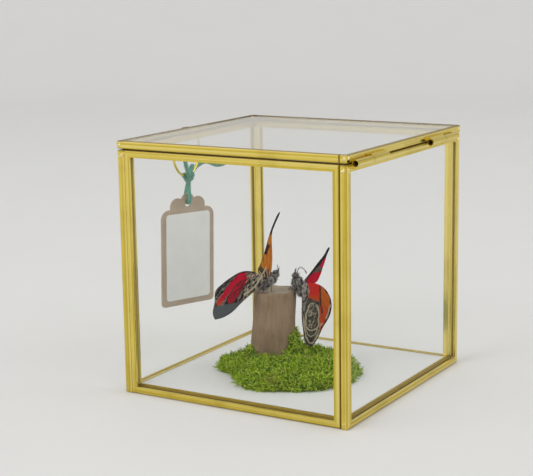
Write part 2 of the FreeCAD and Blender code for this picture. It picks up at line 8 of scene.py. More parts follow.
# %% [markdown]
# ## The frame
# The CAD model comes in as fixed pieces, in metres. New pieces are drawn in millimetres, because the box
# was measured in them, and each is scaled once when it is finished.

# %% Load the CAD frame
import math
import random

import bmesh
import bpy
from bmesh.types import BMEdge, BMVert
from mathutils import Matrix, Vector, noise


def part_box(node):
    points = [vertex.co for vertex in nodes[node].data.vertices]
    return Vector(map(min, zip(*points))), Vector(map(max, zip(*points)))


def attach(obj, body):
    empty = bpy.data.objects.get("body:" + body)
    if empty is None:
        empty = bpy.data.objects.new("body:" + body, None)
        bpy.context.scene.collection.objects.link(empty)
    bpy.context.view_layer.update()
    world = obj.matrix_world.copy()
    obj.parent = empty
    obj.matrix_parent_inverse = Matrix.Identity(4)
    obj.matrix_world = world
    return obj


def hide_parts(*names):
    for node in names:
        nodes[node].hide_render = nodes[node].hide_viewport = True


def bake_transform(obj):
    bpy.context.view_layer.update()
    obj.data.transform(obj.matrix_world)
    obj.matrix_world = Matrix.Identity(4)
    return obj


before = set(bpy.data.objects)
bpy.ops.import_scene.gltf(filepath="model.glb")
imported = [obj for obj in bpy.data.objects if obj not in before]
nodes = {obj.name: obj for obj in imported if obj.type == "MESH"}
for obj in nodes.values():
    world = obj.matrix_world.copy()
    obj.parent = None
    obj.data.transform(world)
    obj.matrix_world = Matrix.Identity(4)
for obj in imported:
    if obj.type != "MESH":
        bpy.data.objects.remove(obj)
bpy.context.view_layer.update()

MM = 0.001
scene = bpy.context.scene

# %% [markdown]
# ## Camera
# A camera is three directions and a place. Both were worked out from the corners of the box, whose true
# shape is known. A long lens keeps the upright edges nearly parallel, as in a product picture.

# %% Camera
SIDEWAYS = Vector((-0.51168, 0.85904, -0.01541))
UPWARDS = Vector((-0.17483, -0.08654, 0.98079))
CAMERA_PLACE = Vector((606.83, 347.08, 212.42))
SENSOR_WIDTH, LENS_LENGTH = 36.0, 93.90
lens = bpy.data.cameras.new("photo_camera")
lens.sensor_fit = "HORIZONTAL"
lens.sensor_width = SENSOR_WIDTH
lens.lens = LENS_LENGTH
camera = bpy.data.objects.new("photo_camera", lens)
axes = Matrix((SIDEWAYS, UPWARDS, SIDEWAYS.cross(UPWARDS))).transposed()
camera.matrix_world = Matrix.Translation(CAMERA_PLACE * MM) @ axes.to_4x4()
scene.collection.objects.link(camera)
scene.camera = camera
scene.view_settings.view_transform = "Standard"
print("camera at", [round(x, 3) for x in camera.location])

# %% [markdown]
# ## Finishes written as sums
# A material is a graph of nodes. Wiring it by hand is slow to read, so one class wraps an output of a node
# and takes part in ordinary sums: `1 - mask` adds a Math node. A second class holds the graph, and its
# `node` method makes every other kind of node from a type, its settings and its sockets.


# %% A value that can be used in sums
class Value:
    """One output of a node."""

    def __init__(self, finish, socket):
        self.finish, self.socket = finish, socket

    def sum(self, operation, first, second=0.0):
        return self.finish.node("Math", {"operation": operation}, {0: first, 1: second})

    def __add__(self, other):
        return self.sum("ADD", self, other)

    def __sub__(self, other):
        return self.sum("SUBTRACT", self, other)

    def __rsub__(self, other):
        return self.sum("SUBTRACT", other, self)

    def __mul__(self, other):
        return self.sum("MULTIPLY", self, other)

    def __truediv__(self, other):
        return self.sum("DIVIDE", self, other)

    def __pow__(self, other):
        return self.sum("POWER", self, other)

    __radd__, __rmul__ = __add__, __mul__

    def most(self, other):
        return self.sum("MAXIMUM", self, other)

    def least(self, other):
        return self.sum("MINIMUM", self, other)

    def sine(self):
        return self.sum("SINE", self)

    def away(self, middle):
        """How far it is from a middle, to either side."""
        return self.sum("ABSOLUTE", self - middle)


# %% A graph of nodes
class Finish:
    """The nodes of one material, or of the world."""

    def __init__(self, owner):
        owner.use_nodes = True
        self.owner, self.tree = owner, owner.node_tree
        self.tree.nodes.clear()

    def node(self, kind, settings=None, sockets=None, out=0):
        """Any node: its type, its settings, which are set first, and its sockets' values or links."""
        made = self.tree.nodes.new("ShaderNode" + kind)
        for key, value in (settings or {}).items():
            setattr(made, key, value)
        for key, value in (sockets or {}).items():
            socket = made.inputs[key]
            if isinstance(value, Value):
                self.tree.links.new(value.socket, socket)
            elif socket.type == "RGBA":
                socket.default_value = (*value, 1.0)
            else:
                socket.default_value = value
        return Value(self, made.outputs[out]) if len(made.outputs) else None

    def place(self, stretch=(1, 1, 1), middle=(0, 0, 0)):
        """The point on the piece in millimetres from a middle, stretched along its axes."""
        spot = self.node("TexCoord", out="Object")
        scale = [share / MM for share in stretch]
        shift = [-share * m for share, m in zip(stretch, middle)]
        return self.node("Mapping", None, {"Vector": spot, "Scale": scale, "Location": shift})

    def parts(self, place):
        """The X, Y and Z of a point."""
        made = self.node("SeparateXYZ", None, {0: place})
        return [Value(self, socket) for socket in made.socket.node.outputs]

    def noise(self, place, scale, detail=3.0, roughness=0.5):
        """Cloudy values between 0 and 1."""
        sockets = {"Vector": place, "Scale": scale, "Detail": detail, "Roughness": roughness}
        return self.node("TexNoise", None, sockets)

    def fade(self, value, low, high):
        """0 at low, 1 at high, smooth in between and flat outside."""
        return self.node("MapRange", {"interpolation_type": "SMOOTHSTEP"}, {0: value, 1: low, 2: high})

    def mix(self, first, second, share):
        """Two colours, with a share of the second."""
        return self.node("Mix", {"data_type": "RGBA"}, {0: share, 6: first, 7: second}, 2)

    def coats(self, tone, *layers):
        """A colour with others laid over it in turn, each given with its share."""
        for colour, share in layers:
            tone = self.mix(tone, colour, share)
        return tone

    def bump(self, height, depth, strength=1.0):
        """A surface that rises by a depth in millimetres where height goes from 0 to 1."""
        return self.node("Bump", None, {"Height": height, "Distance": depth * MM, "Strength": strength})

    def surface(self, sockets):
        """Ends the graph with one Principled shader."""
        shader = self.node("BsdfPrincipled", None, sockets)
        self.node("OutputMaterial", None, {"Surface": shader})
        return self.owner


def finish(name):
    """A new material with an empty graph."""
    return Finish(bpy.data.materials.new(name))


# %% [markdown]
# ## Studio
# The set is one pale sheet that lies flat under the box and curves up far behind it, so no corner shows.
# A sheet is one edge, extruded back, spun up through a quarter turn and extruded again. The light is
# mostly soft light from all round, a little darker overhead and on the viewer's side, which gives the brass
# its contrast.

# %% Shape of the pale sheet
TOWARDS = Vector((0.8576, 0.5143, 0.0))
LEVEL = Matrix.Rotation(math.radians(120.95), 4, "Z")
SHEET_HALF, SHEET_FRONT, SHEET_BACK = 4.0, -2.5, 1.4
SHEET_CURVE, SHEET_WALL, SHEET_GAP = 0.6, 1.6, 0.0002


def picked(made, kind):
    """The vertices, or the edges, among what an operator made."""
    return [part for part in made if isinstance(part, kind)]


def mesh_from(bm, name):
    """A mesh with the shape of a bmesh, which is then let go."""
    mesh = bpy.data.meshes.new(name)
    bm.to_mesh(mesh)
    bm.free()
    return mesh


bm = bmesh.new()
front = bm.edges.new([bm.verts.new((x, SHEET_FRONT, 0.0)) for x in (-SHEET_HALF, SHEET_HALF)])
back = bmesh.ops.extrude_edge_only(bm, edges=[front])["geom"]
bmesh.ops.translate(bm, vec=(0, SHEET_BACK - SHEET_FRONT, 0), verts=picked(back, BMVert))
curve = bmesh.ops.spin(
    bm, geom=picked(back, BMVert) + picked(back, BMEdge), cent=(0, SHEET_BACK, SHEET_CURVE), axis=(1, 0, 0),
    angle=math.radians(90), steps=24,
)
wall = bmesh.ops.extrude_edge_only(bm, edges=picked(curve["geom_last"], BMEdge))["geom"]
bmesh.ops.translate(bm, vec=(0, 0, SHEET_WALL), verts=picked(wall, BMVert))
bmesh.ops.translate(bm, vec=(0, 0, -SHEET_GAP), verts=bm.verts)
bmesh.ops.transform(bm, matrix=LEVEL, verts=bm.verts)
bmesh.ops.recalc_face_normals(bm, faces=bm.faces)
sheet_mesh = mesh_from(bm, "studio_sheet")
sheet_mesh.shade_smooth()
print("studio sheet with", len(sheet_mesh.polygons), "faces")

# %% Finish of the pale sheet
studio = bpy.data.objects.new("studio_sheet", sheet_mesh)
scene.collection.objects.link(studio)
paint = finish("studio_sheet")
cloud = paint.noise(paint.place(), 0.01, 3.0)
tone = paint.mix((0.70, 0.695, 0.68), (0.73, 0.725, 0.71), cloud)
sheet_mesh.materials.append(paint.surface({"Base Color": tone, "Roughness": 0.85}))
print("pale paint on", studio.name)

# %% Light
BOX_MIDDLE = Vector((0, 0, 0.06))
world = bpy.data.worlds.new("soft_room")
scene.world = world
room = Finish(world)
aim = room.node("TexCoord", out="Generated")
facing = room.node("VectorMath", {"operation": "DOT_PRODUCT"}, {0: aim, 1: TOWARDS}, "Value")
height = room.parts(aim)[2]
tone = room.coats(
    (0.95, 0.95, 0.95),
    ((0.62, 0.62, 0.62), room.fade(facing, 0.1, 0.9)),
    ((0.7, 0.7, 0.7), room.fade(height, 0.45, 0.9)),
)
glow = room.node("Background", None, {"Color": tone, "Strength": 1.2})
room.node("OutputWorld", None, {"Surface": glow})


def lamp(name, sideways, towards, up, size, power):
    """A square soft lamp that looks at the middle of the box."""
    light = bpy.data.lights.new(name, "AREA")
    light.size = size
    light.energy = power
    thing = bpy.data.objects.new(name, light)
    aside = sideways * (LEVEL @ Vector((1, 0, 0)))
    place = BOX_MIDDLE + aside + towards * TOWARDS + Vector((0, 0, up))
    aimed = (BOX_MIDDLE - place).to_track_quat("-Z", "Y").to_matrix().to_4x4()
    thing.matrix_world = Matrix.Translation(place) @ aimed
    scene.collection.objects.link(thing)
    return thing


lamps = [
    lamp("key_lamp", -1.3, 0.9, 1.3, 1.4, 9.0),
    lamp("side_lamp", 1.6, 0.2, 0.7, 1.0, 4.0),
]
print([thing.name for thing in lamps])

# %% [markdown]
# ## Brass
# The channel is drawn brass: fine lines run along each strip, broader streaks along it are painted lighter
# and darker as highlight and shade, and handling leaves faint cloudy tarnish. Lines are noise squeezed
# across the strip, so strips that run along X, Y and Z each need their own stretch. Shade is painted dark
# brown in the seam under the lid, in the grooves of the near post and the floor, and in the bores of the
# hinges. The slots that hold the panes are painted a dull darker brown as shade, and the lid's top is rougher
# and painted darker as shade, most of all at its front and left. All of these are picked out by their place
# on the box, in millimetres. Hinges and ring share a finish of their own, which has no seam.

# %% Where shade is painted
WALL = 61.5
SEAM = 123.7
HINGE_BACK = 65.4
LID_TOP = 128.0


def box_recess_shade(f, x, y, z):
    """1 where shade is painted: the seam under the lid and the grooves of the near post and the floor."""
    # Painted shade: dark in the seam under the lid, with a weaker band on the walls' rounded top edge that
    # hides its highlight, in the groove of the near post only, and along the floor's slots.
    lid_seam = f.fade(z.away(SEAM), 0.6, 0.35).most(f.fade(z.away(SEAM - 0.6), 0.7, 0.2) * 0.55)
    post_groove = f.fade(y.away(WALL - 2.0), 0.6, 0.3) * f.fade(x, WALL, WALL + 0.8)
    floor_slot = f.fade(x.most(y).away(WALL - 1.0), 2.4, 2.0) * f.fade(z, 4.4, 4.0)
    return lid_seam.most(post_groove).most(floor_slot * 0.85)


def hinge_bore_shade(f, y, z):
    """1 where shade is painted in the bores of the hinges."""
    across, up = y - HINGE_BACK, z - SEAM
    return f.fade((across * across + up * up) ** 0.5, 1.65, 1.4)


def pane_slots(f, x, y, z):
    """1 inside the slots that hold the panes of the walls."""
    wide, deep = x.away(0.0), y.away(0.0)
    sides = f.fade(wide.away(WALL), 1.6, 1.2) * f.fade(deep, WALL - 2.3, WALL - 2.7)
    ends = f.fade(deep.away(WALL), 1.6, 1.2) * f.fade(wide, WALL + 1.7, WALL + 1.3)
    return sides.most(ends) * f.fade(z, 0.3, 0.7) * f.fade(z, SEAM - 0.6, SEAM - 1.0)


print("walls", WALL, "mm from the middle, seam at", SEAM, "mm")


# %% Drawn brass
def drawn_brass(name, stretch, fitting=False):
    """Brass with fine lines along one axis, painted streaks of highlight and shade, and painted shade."""
    f = finish(name)
    x, y, z = f.parts(f.place())
    lines = f.noise(f.place(stretch), 1.0, 4.0, 0.6)
    streaks = f.noise(f.place([share * 0.16 for share in stretch]), 1.0, 2.0)
    cloud = f.noise(f.place(), 0.05, 4.0)
    specks = f.noise(f.place(), 1.1, 3.0)
    tarnish = f.fade(cloud * 0.9 + specks * 0.1, 0.46, 0.66)
    recess_shade = hinge_bore_shade(f, y, z) if fitting else box_recess_shade(f, x, y, z)
    slot_shade = pane_slots(f, x, y, z)
    # Painted shade on the lid's top: it is rougher there and painted a darker tone, darkest on the strips
    # where x or y is below -58 mm.
    dull_shaded_top = f.fade(z, LID_TOP - 0.9, LID_TOP - 0.3)
    wear_and_shade = f.mix((0.33, 0.255, 0.12), (0.15, 0.115, 0.09), f.fade(x.least(y), -58.0, -61.0))
    colour = f.coats(
        (0.77, 0.60, 0.12),
        ((0.64, 0.485, 0.085), tarnish),
        # Painted highlight and shade: broad streaks along the strip are painted lighter and darker.
        ((0.86, 0.74, 0.26), f.fade(streaks, 0.50, 0.62) * 0.7),
        ((0.52, 0.39, 0.035), f.fade(streaks, 0.48, 0.36) * 0.7),
        ((0.45, 0.31, 0.05), f.fade(specks, 0.66, 0.78) * 0.25),
        (wear_and_shade, dull_shaded_top * 0.85),
        # Painted shade: the slots of the panes get a dull, darker, non-metal brown.
        ((0.62, 0.50, 0.17), slot_shade),
        # Painted shade: dark non-metal brown in the seam, the grooves and the hinge bores.
        ((0.21, 0.135, 0.018), recess_shade),
    )
    return f.surface({
        "Base Color": colour,
        "Metallic": 1 - recess_shade.most(slot_shade),
        "Specular IOR Level": 0.1,
        "Roughness": 0.12 + lines * 0.12 + tarnish * 0.08 + dull_shaded_top * 0.2 + recess_shade * 0.3,
        "Normal": f.bump(lines * 0.4 + streaks, 0.12, 0.6),
    })


BRASS = {
    "X": drawn_brass("brass_along_x", (0.02, 5.0, 5.0)),
    "Y": drawn_brass("brass_along_y", (5.0, 0.02, 5.0)),
    "Z": drawn_brass("brass_along_z", (5.0, 5.0, 0.02)),
    "fitting": drawn_brass("brass_fitting", (0.02, 5.0, 5.0), True),
}
print(len(BRASS), "kinds of brass")

# %% Brass pieces
METAL = ("channel", "knuckle", "pin", "eye", "pull")


def longest_axis(name):
    """The axis that a CAD piece is longest along."""
    low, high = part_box(name)
    spans = [b - a for a, b in zip(low, high)]
    return "XYZ"[spans.index(max(spans))]


def dress(name, material):
    """Gives a CAD piece a finish."""
    nodes[name].material_slots[0].material = material


metal = [name for name in nodes if name.split("_")[-1] in METAL]
for name in metal:
    dress(name, BRASS[longest_axis(name) if name.endswith("_channel") else "fitting"])
print(len(metal), "brass pieces")

# %% [markdown]
# ## Glass and floor
# Clear glass bends and mirrors light. A path tracer finds it hard to bring lamps through real glass, so for
# shadow and diffuse rays the pane counts as plainly transparent, and the inside of the box stays bright.
# The walls are given a lower index than real glass, because the studio in the picture throws no reflections
# on them; the lid is seen at a flat angle and keeps a full one. The floor is a satin white panel.

# %% Clear glass
GLASS_TINT = (0.99, 0.995, 0.992)
WALL_INDEX, LID_INDEX = 1.12, 1.5


def clear_glass(name, index):
    """Glass that lets light through to what it covers; a higher index mirrors more."""
    f = finish(name)
    bloom = f.fade(f.noise(f.place(), 0.03, 5.0, 0.6), 0.5, 0.75)
    pane = f.node("BsdfPrincipled", None, {
        "Base Color": GLASS_TINT,
        "Roughness": bloom * 0.05,
        "IOR": index,
        "Transmission Weight": 1.0,
    })
    clear = f.node("BsdfTransparent", None, {"Color": GLASS_TINT})
    through = f.node("LightPath", out="Is Shadow Ray").most(f.node("LightPath", out="Is Diffuse Ray"))
    both = f.node("MixShader", None, {0: through, 1: pane, 2: clear})
    f.node("OutputMaterial", None, {"Surface": both})
    return f.owner


wall_glass = clear_glass("wall_glass", WALL_INDEX)
panes = [name for name in nodes if name.endswith("_glass")]
for name in panes:
    dress(name, wall_glass)
dress("lid_glass", clear_glass("lid_glass", LID_INDEX))
print(len(panes), "clear panes")

# %% Pale floor
f = finish("white_panel")
cloud = f.noise(f.place(), 0.04, 5.0, 0.6)
dust = f.fade(f.noise(f.place(), 1.6, 2.0), 0.62, 0.74)
tone = f.coats((0.74, 0.74, 0.73), ((0.69, 0.69, 0.68), cloud), ((0.55, 0.54, 0.5), dust * 0.5))
dress("base_panel", f.surface({
    "Base Color": tone,
    "Roughness": 0.42 + cloud * 0.15,
    "Specular IOR Level": 0.2,
    "Normal": f.bump(dust, 0.02),
}))
print("pale floor")

# %% [markdown]
# ## Card and paper
# The tag is brown kraft card, whose long fibres show as faint streaks and specks. The label on it is
# smooth white paper. Both are flat CAD pieces, so the finish does all the work.


# %% Kraft card and label
def paper(name, pale, dark, speck, specked):
    """Paper of two close tones, with fibres and a share of specks."""
    f = finish(name)
    place = f.place()
    fibres = f.noise(f.place((2.2, 2.2, 0.35)), 1.0, 5.0, 0.65)
    cross = f.noise(f.place((0.4, 0.4, 2.6)), 1.0, 5.0, 0.65)
    cloud = f.noise(place, 0.12, 3.0)
    tone = f.coats(
        pale,
        (dark, f.fade(fibres * 0.4 + cross * 0.3 + cloud * 0.3, 0.38, 0.62)),
        (speck, f.fade(f.noise(place, 1.7, 2.0), 0.66, 0.72) * specked),
    )
    return f.surface({
        "Base Color": tone,
        "Roughness": 0.75 + fibres * 0.2,
        "Specular IOR Level": 0.3,
        "Normal": f.bump(fibres + cross, 0.03, 0.6),
    })


dress("tag_card", paper("kraft_card", (0.49, 0.395, 0.31), (0.40, 0.31, 0.235), (0.24, 0.175, 0.125), 0.6))
dress("tag_label", paper("label_paper", (0.80, 0.80, 0.79), (0.74, 0.74, 0.73), (0.66, 0.65, 0.62), 0.4))
print("tag and label")

# %% [markdown]
# ## Making a piece
# A bmesh is a mesh that Python can reshape with Blender's own operators. Every new piece ends the same way:
# it is scaled to metres, gets its finish, and rides on the CAD body that carries it. Smooth lines and round
# tubes come from Blender's curves, which are turned into meshes.


# %% From bmesh to a piece
def tidy(bm):
    """Closes seams and poles, and turns all faces outwards."""
    bmesh.ops.remove_doubles(bm, verts=bm.verts, dist=0.001)
    bmesh.ops.recalc_face_normals(bm, faces=bm.faces)


def second_finish(faces):
    """Gives faces the second finish of their piece."""
    for face in faces:
        face.material_index = 1


def piece(bm, name, materials, body=None):
    """An object from a bmesh in millimetres, which moves with a body."""
    bmesh.ops.scale(bm, vec=(MM, MM, MM), verts=bm.verts)
    mesh = mesh_from(bm, name)
    for material in materials:
        mesh.materials.append(material)
    mesh.shade_smooth()
    thing = bpy.data.objects.new(name, mesh)
    scene.collection.objects.link(thing)
    if body:
        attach(thing, body)
    triangles = sum(len(face.vertices) - 2 for face in mesh.polygons)
    print(name, "has", triangles, "triangles")
    return thing


# %% Lines and tubes
def curve_mesh(curve):
    """The mesh that a curve makes. The curve is then let go."""
    holder = bpy.data.objects.new("line", curve)
    mesh = bpy.data.meshes.new_from_object(holder)
    bpy.data.objects.remove(holder)
    bpy.data.curves.remove(curve)
    return mesh


def pour(bm, mesh):
    """Adds a mesh to a bmesh. The mesh is then let go."""
    bm.from_mesh(mesh)
    bpy.data.meshes.remove(mesh)


def drawn_line(points, kind="NURBS", steps=12):
    """Points along a smooth line: a NURBS line passes near the given points, a Bezier line through them."""
    line = bpy.data.curves.new("line", "CURVE")
    line.dimensions = "3D"
    line.resolution_u = steps
    spline = line.splines.new(kind)
    if kind == "NURBS":
        spline.points.add(len(points) - 1)
        for point, place in zip(spline.points, points):
            point.co = (*place, 1.0)
        spline.order_u = 3
        spline.use_endpoint_u = True
    else:
        spline.bezier_points.add(len(points) - 1)
        for point, place in zip(spline.bezier_points, points):
            point.co = place
            point.handle_left_type = point.handle_right_type = "AUTO"
    mesh = curve_mesh(line)
    found = [mesh.vertices[0].co.copy()]
    for vertex in mesh.vertices:
        if (vertex.co - found[-1]).length > 0.001:
            found.append(vertex.co.copy())
    bpy.data.meshes.remove(mesh)
    return found


def add_tubes(bm, lines, radius, rounds=1, taper=None):
    """Round tubes along lines of points, added to a bmesh."""
    curve = bpy.data.curves.new("tube", "CURVE")
    curve.dimensions = "3D"
    curve.bevel_depth = radius
    curve.bevel_resolution = rounds
    curve.use_fill_caps = True
    for points in lines:
        spline = curve.splines.new("POLY")
        spline.points.add(len(points) - 1)
        for i, (point, place) in enumerate(zip(spline.points, points)):
            point.co = (*place, 1.0)
            point.radius = taper(i / (len(points) - 1)) if taper else 1.0
    pour(bm, curve_mesh(curve))


# %% [markdown]
# ## String
# The tag hangs on a soft green yarn of three plies. It is one length: down from its upright end, through
# the tag, back up into the knot, and out to the side. A NURBS line through the CAD route gives the smooth
# fall of yarn. Three tubes wind round that line, and loose fibres stand off it.

# %% Yarn finish
f = finish("green_yarn")
fibres = f.noise(f.place((3.0, 3.0, 3.0)), 1.0, 5.0, 0.7)
cloud = f.noise(f.place(), 0.35, 2.0)
tone = f.mix((0.06, 0.205, 0.145), (0.17, 0.42, 0.315), f.fade(fibres * 0.6 + cloud * 0.4, 0.35, 0.65))
YARN = f.surface({
    "Base Color": tone,
    "Roughness": 0.8 + fibres * 0.2,
    "Sheen Weight": 0.35,
    "Sheen Roughness": 0.5,
    "Normal": f.bump(fibres, 0.08),
})
print("finish", YARN.name)

# %% Route of the yarn
KNOT = Vector((-0.9, -66.0, 101.2))
TAG_HOLE, TAG_TURN = KNOT + Vector((-2.3, -2.3, -15.0)), math.radians(-16.6)
HOLE = Matrix.Translation(TAG_HOLE) @ Matrix.Rotation(TAG_TURN, 4, "Z")
UPRIGHT_TAIL = [(5.1, 1.4, 14.9), (4.8, 1.5, 9.9), (3.7, 1.9, 5.0), (1.9, 2.1, 0.6)]
TAG_LOOP = [
    (1.0, 2.5, 11.9), (0.4, 2.0, 7.0), (0.0, 2.2, 0.5), (0.0, -2.2, 0.5), (-0.6, -1.6, 6.6), (0.0, 1.1, 11.8),
]
SIDE_TAIL = [
    (-4.5, -1.8, 0.2), (-9.0, -1.8, 3.0), (-14.0, -1.6, 5.0), (-19.0, -1.5, 5.6), (-24.5, -1.5, 4.3),
    (-29.5, -1.4, 2.2), (-34.0, -1.4, 1.7), (-38.5, -1.5, 2.0),
]
route = [KNOT + Vector(step) for step in UPRIGHT_TAIL]
route += [HOLE @ Vector(step) for step in TAG_LOOP]
route += [KNOT + Vector(step) for step in SIDE_TAIL]
yarn_line = drawn_line(route, steps=16)
yarn_length = sum((b - a).length for a, b in zip(yarn_line, yarn_line[1:]))
print("yarn line of", len(yarn_line), "points,", round(yarn_length, 1), "mm")

# %% Plies and fibres
YARN_WIDTH, PLIES, TWIST = 2.2, 3, 4.5


def jitter(chance, most):
    """A random step of up to that much along each axis, either way."""
    return Vector([chance.uniform(-most, most) for _ in range(3)])


def wound(line, radius, pitch, start):
    """A line that winds round another, with a frame that is carried along without twisting."""
    points = []
    run = 0.0
    side = (line[1] - line[0]).orthogonal().normalized()
    for i, here in enumerate(line):
        ahead = (line[min(i + 1, len(line) - 1)] - line[max(i - 1, 0)]).normalized()
        side = (side - ahead * side.dot(ahead)).normalized()
        turn = start + 2 * math.pi * run / pitch
        across = ahead.cross(side)
        points.append(here + (side * math.cos(turn) + across * math.sin(turn)) * radius)
        if i + 1 < len(line):
            run += (line[i + 1] - here).length
    return points


def yarn(line, seed):
    """Three plies round a line, with loose fibres that stand off them."""
    bm = bmesh.new()
    plies = [wound(line, 0.25 * YARN_WIDTH, TWIST, turn * 2 * math.pi / PLIES) for turn in range(PLIES)]
    add_tubes(bm, plies, 0.29 * YARN_WIDTH, 2)
    chance = random.Random(seed)
    fibres = []
    for _ in range(len(line) * 2 // 3):
        ply = chance.choice(plies)
        i = chance.randrange(len(ply) - 1)
        outward = (ply[i] - line[i]).normalized()
        along = (ply[i + 1] - ply[i]).normalized() * chance.choice((-1, 1))
        root = ply[i] + outward * 0.3
        bend = jitter(chance, 0.35)
        middle = root + outward * 0.35 + along * 0.5 + bend
        end = root + outward * 0.55 + along * 1.3 + bend
        fibres.append([root, middle, end])
    add_tubes(bm, fibres, 0.035, 0)
    return bm


string = piece(yarn(yarn_line, 3), "string", [YARN])
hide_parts("string_tails", "string_loop")

# %% [markdown]
# ## Knot
# The yarn is knotted round the wire of the ring. From outside a knot is a few turns of yarn side by side,
# so the same yarn is wound along a short coil, which tightens at both ends. A small bow stands up from it.

# %% Knot on the ring
COIL_STEPS, COIL_TURNS = 60, 2.5
BOW = [
    (0.6, 0.5, 0.8), (-1.4, 0.9, 3.4), (-2.8, 0.9, 5.6),
    (-4.0, 0.4, 5.2), (-3.4, 0.0, 2.9), (-1.6, -0.3, 0.8),
]
coil = []
for step in range(COIL_STEPS):
    share = step / (COIL_STEPS - 1)
    turn = share * 2 * math.pi * COIL_TURNS
    swell = 1.75 - 0.4 * abs(2 * share - 1) ** 3
    coil.append(KNOT + Vector((-3.0 + 5.2 * share, swell * math.cos(turn), swell * math.sin(turn))))
bow_line = drawn_line([KNOT + Vector(step) for step in BOW], steps=8)
bm = yarn(drawn_line(coil, steps=3), 5)
pour(bm, mesh_from(yarn(bow_line, 6), "bow"))
knot = piece(bm, "knot", [YARN], "ring")
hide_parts("string_knot")

# %% The string between ring and tag
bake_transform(string)
round(yarn_length * MM, 3)
print("string of", round(yarn_length), "mm bends under the knot")

# %% [markdown]
# ## Stump
# The stump is a length of branch with thin grey-brown bark and a sawn top. A cone cut into many rings
# gives vertices to push: long ridges, a few lumps and a worn rim come from noise, which Blender gives to
# Python as well as to materials. The display is drawn square to the viewer and turned into place at the end.

# %% Bark and sawn wood
DISPLAY = Matrix.Translation((6.4, -10.7, 0.0)) @ LEVEL
FLOOR, STUMP_TOP, STUMP_LEAN = 3.6, 46.9, 2.2

f = finish("bark")
streaks = f.noise(f.place((0.9, 0.9, 0.07)), 1.0, 5.0, 0.6)
cloud = f.noise(f.place(), 0.07, 4.0)
flecks = f.noise(f.place((1.6, 1.6, 0.6)), 1.0, 4.0, 0.65)
BARK = f.surface({
    "Base Color": f.coats(
        (0.205, 0.14, 0.086),
        ((0.30, 0.215, 0.14), f.fade(streaks * 0.35 + cloud * 0.65, 0.36, 0.62)),
        ((0.35, 0.275, 0.20), f.fade(flecks, 0.56, 0.72) * 0.35),
        ((0.12, 0.08, 0.048), f.fade(flecks, 0.40, 0.28) * 0.4),
    ),
    "Roughness": 0.8 + flecks * 0.2,
    "Specular IOR Level": 0.25,
    "Normal": f.bump(streaks * 0.6 + flecks * 0.4, 0.35),
})

f = finish("sawn_wood")
spot = f.place(middle=DISPLAY @ Vector((STUMP_LEAN, 0, STUMP_TOP)))
x, y = f.parts(spot)[:2]
reach = (x * x + y * y) ** 0.5 + f.noise(spot, 0.12, 3.0) * 2.2
rings = (reach * 5.2).sine() * 0.5 + 0.5
grain = f.noise(f.place((2.0, 2.0, 2.0)), 1.0, 4.0)
SAWN = f.surface({
    "Base Color": f.coats(
        (0.44, 0.375, 0.29),
        ((0.33, 0.27, 0.20), rings * 0.6 + grain * 0.3),
        ((0.14, 0.10, 0.065), f.fade(reach, 9.6, 11.6)),
    ),
    "Roughness": 0.9,
    "Specular IOR Level": 0.2,
    "Normal": f.bump(rings * 0.4 + grain, 0.25),
})
print("bark and sawn wood")

# %% Shape of the stump
FOOT_RADIUS, TOP_RADIUS = 11.4, 10.2
SAWN_RINGS = (0.5, 0.6, 0.9, 1.0, 1.2, 1.4, 1.4, 1.4)
# Ridges of the bark: how fine, where the noise is read, how often along the stump, how high.
RIDGES = [
    (4.5, (0, 0), 2.2, 0.55), (11.0, (3, 0), 5.0, 0.28), (1.3, (7, 0), 2.5, 0.9), (24.0, (0, 5), 26.0, 0.12),
]


def stump_shape():
    """A leaning post of bark with a sawn top."""
    bm = bmesh.new()
    tall = STUMP_TOP - FLOOR
    bmesh.ops.create_cone(
        bm, cap_ends=True, segments=120, radius1=FOOT_RADIUS, radius2=TOP_RADIUS, depth=tall
    )
    standing = [edge for edge in bm.edges if abs(edge.verts[0].co.z - edge.verts[1].co.z) > 1]
    bmesh.ops.subdivide_edges(bm, edges=standing, cuts=64)
    top = max(bm.faces, key=lambda face: face.calc_center_median().z)
    sawn = []
    for width in SAWN_RINGS:
        sawn += bmesh.ops.inset_region(bm, faces=[top], thickness=width)["faces"]
    sawn += bmesh.ops.poke(bm, faces=[top])["faces"]
    second_finish(sawn)
    for vert in bm.verts:
        share = vert.co.z / tall + 0.5
        angle = math.atan2(vert.co.y, vert.co.x)
        reach = math.hypot(vert.co.x, vert.co.y)
        around = Vector((math.cos(angle), math.sin(angle), 0))
        ridge = 0.0
        for fine, shift, along, high in RIDGES:
            ridge += noise.noise(around * fine + Vector((*shift, share * along))) * high
        on_side = min(1.0, reach / 10.0)
        wear_and_shade = 0.45 * max(0.0, (share - 0.97) / 0.03) ** 2
        reach += (ridge - wear_and_shade) * on_side ** 4
        vert.co.x, vert.co.y = reach * around.x + STUMP_LEAN * share, reach * around.y
        if share > 0.99:
            rough = noise.noise(Vector((vert.co.x, vert.co.y, 0)) * 0.35) * 0.5
            vert.co.z += rough + noise.noise(Vector((vert.co.x, vert.co.y, 2)) * 1.6) * 0.15 - 0.25
    bmesh.ops.translate(bm, vec=(0, 0, FLOOR + tall / 2), verts=bm.verts)
    tidy(bm)
    bmesh.ops.transform(bm, matrix=DISPLAY, verts=bm.verts)
    return bm


stump = piece(stump_shape(), "stump_bark", [BARK, SAWN], "case")
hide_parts("stump")

# %% [markdown]
# ## Moss
# The moss is a low cushion that banks up on one side of the stump. Real moss is thousands of small shoots,
# so a lumpy cushion is made first and small clumps of shoots are set on it. All clumps are copies of a
# few patterns of eight curled shoots each, which keeps the mesh small.

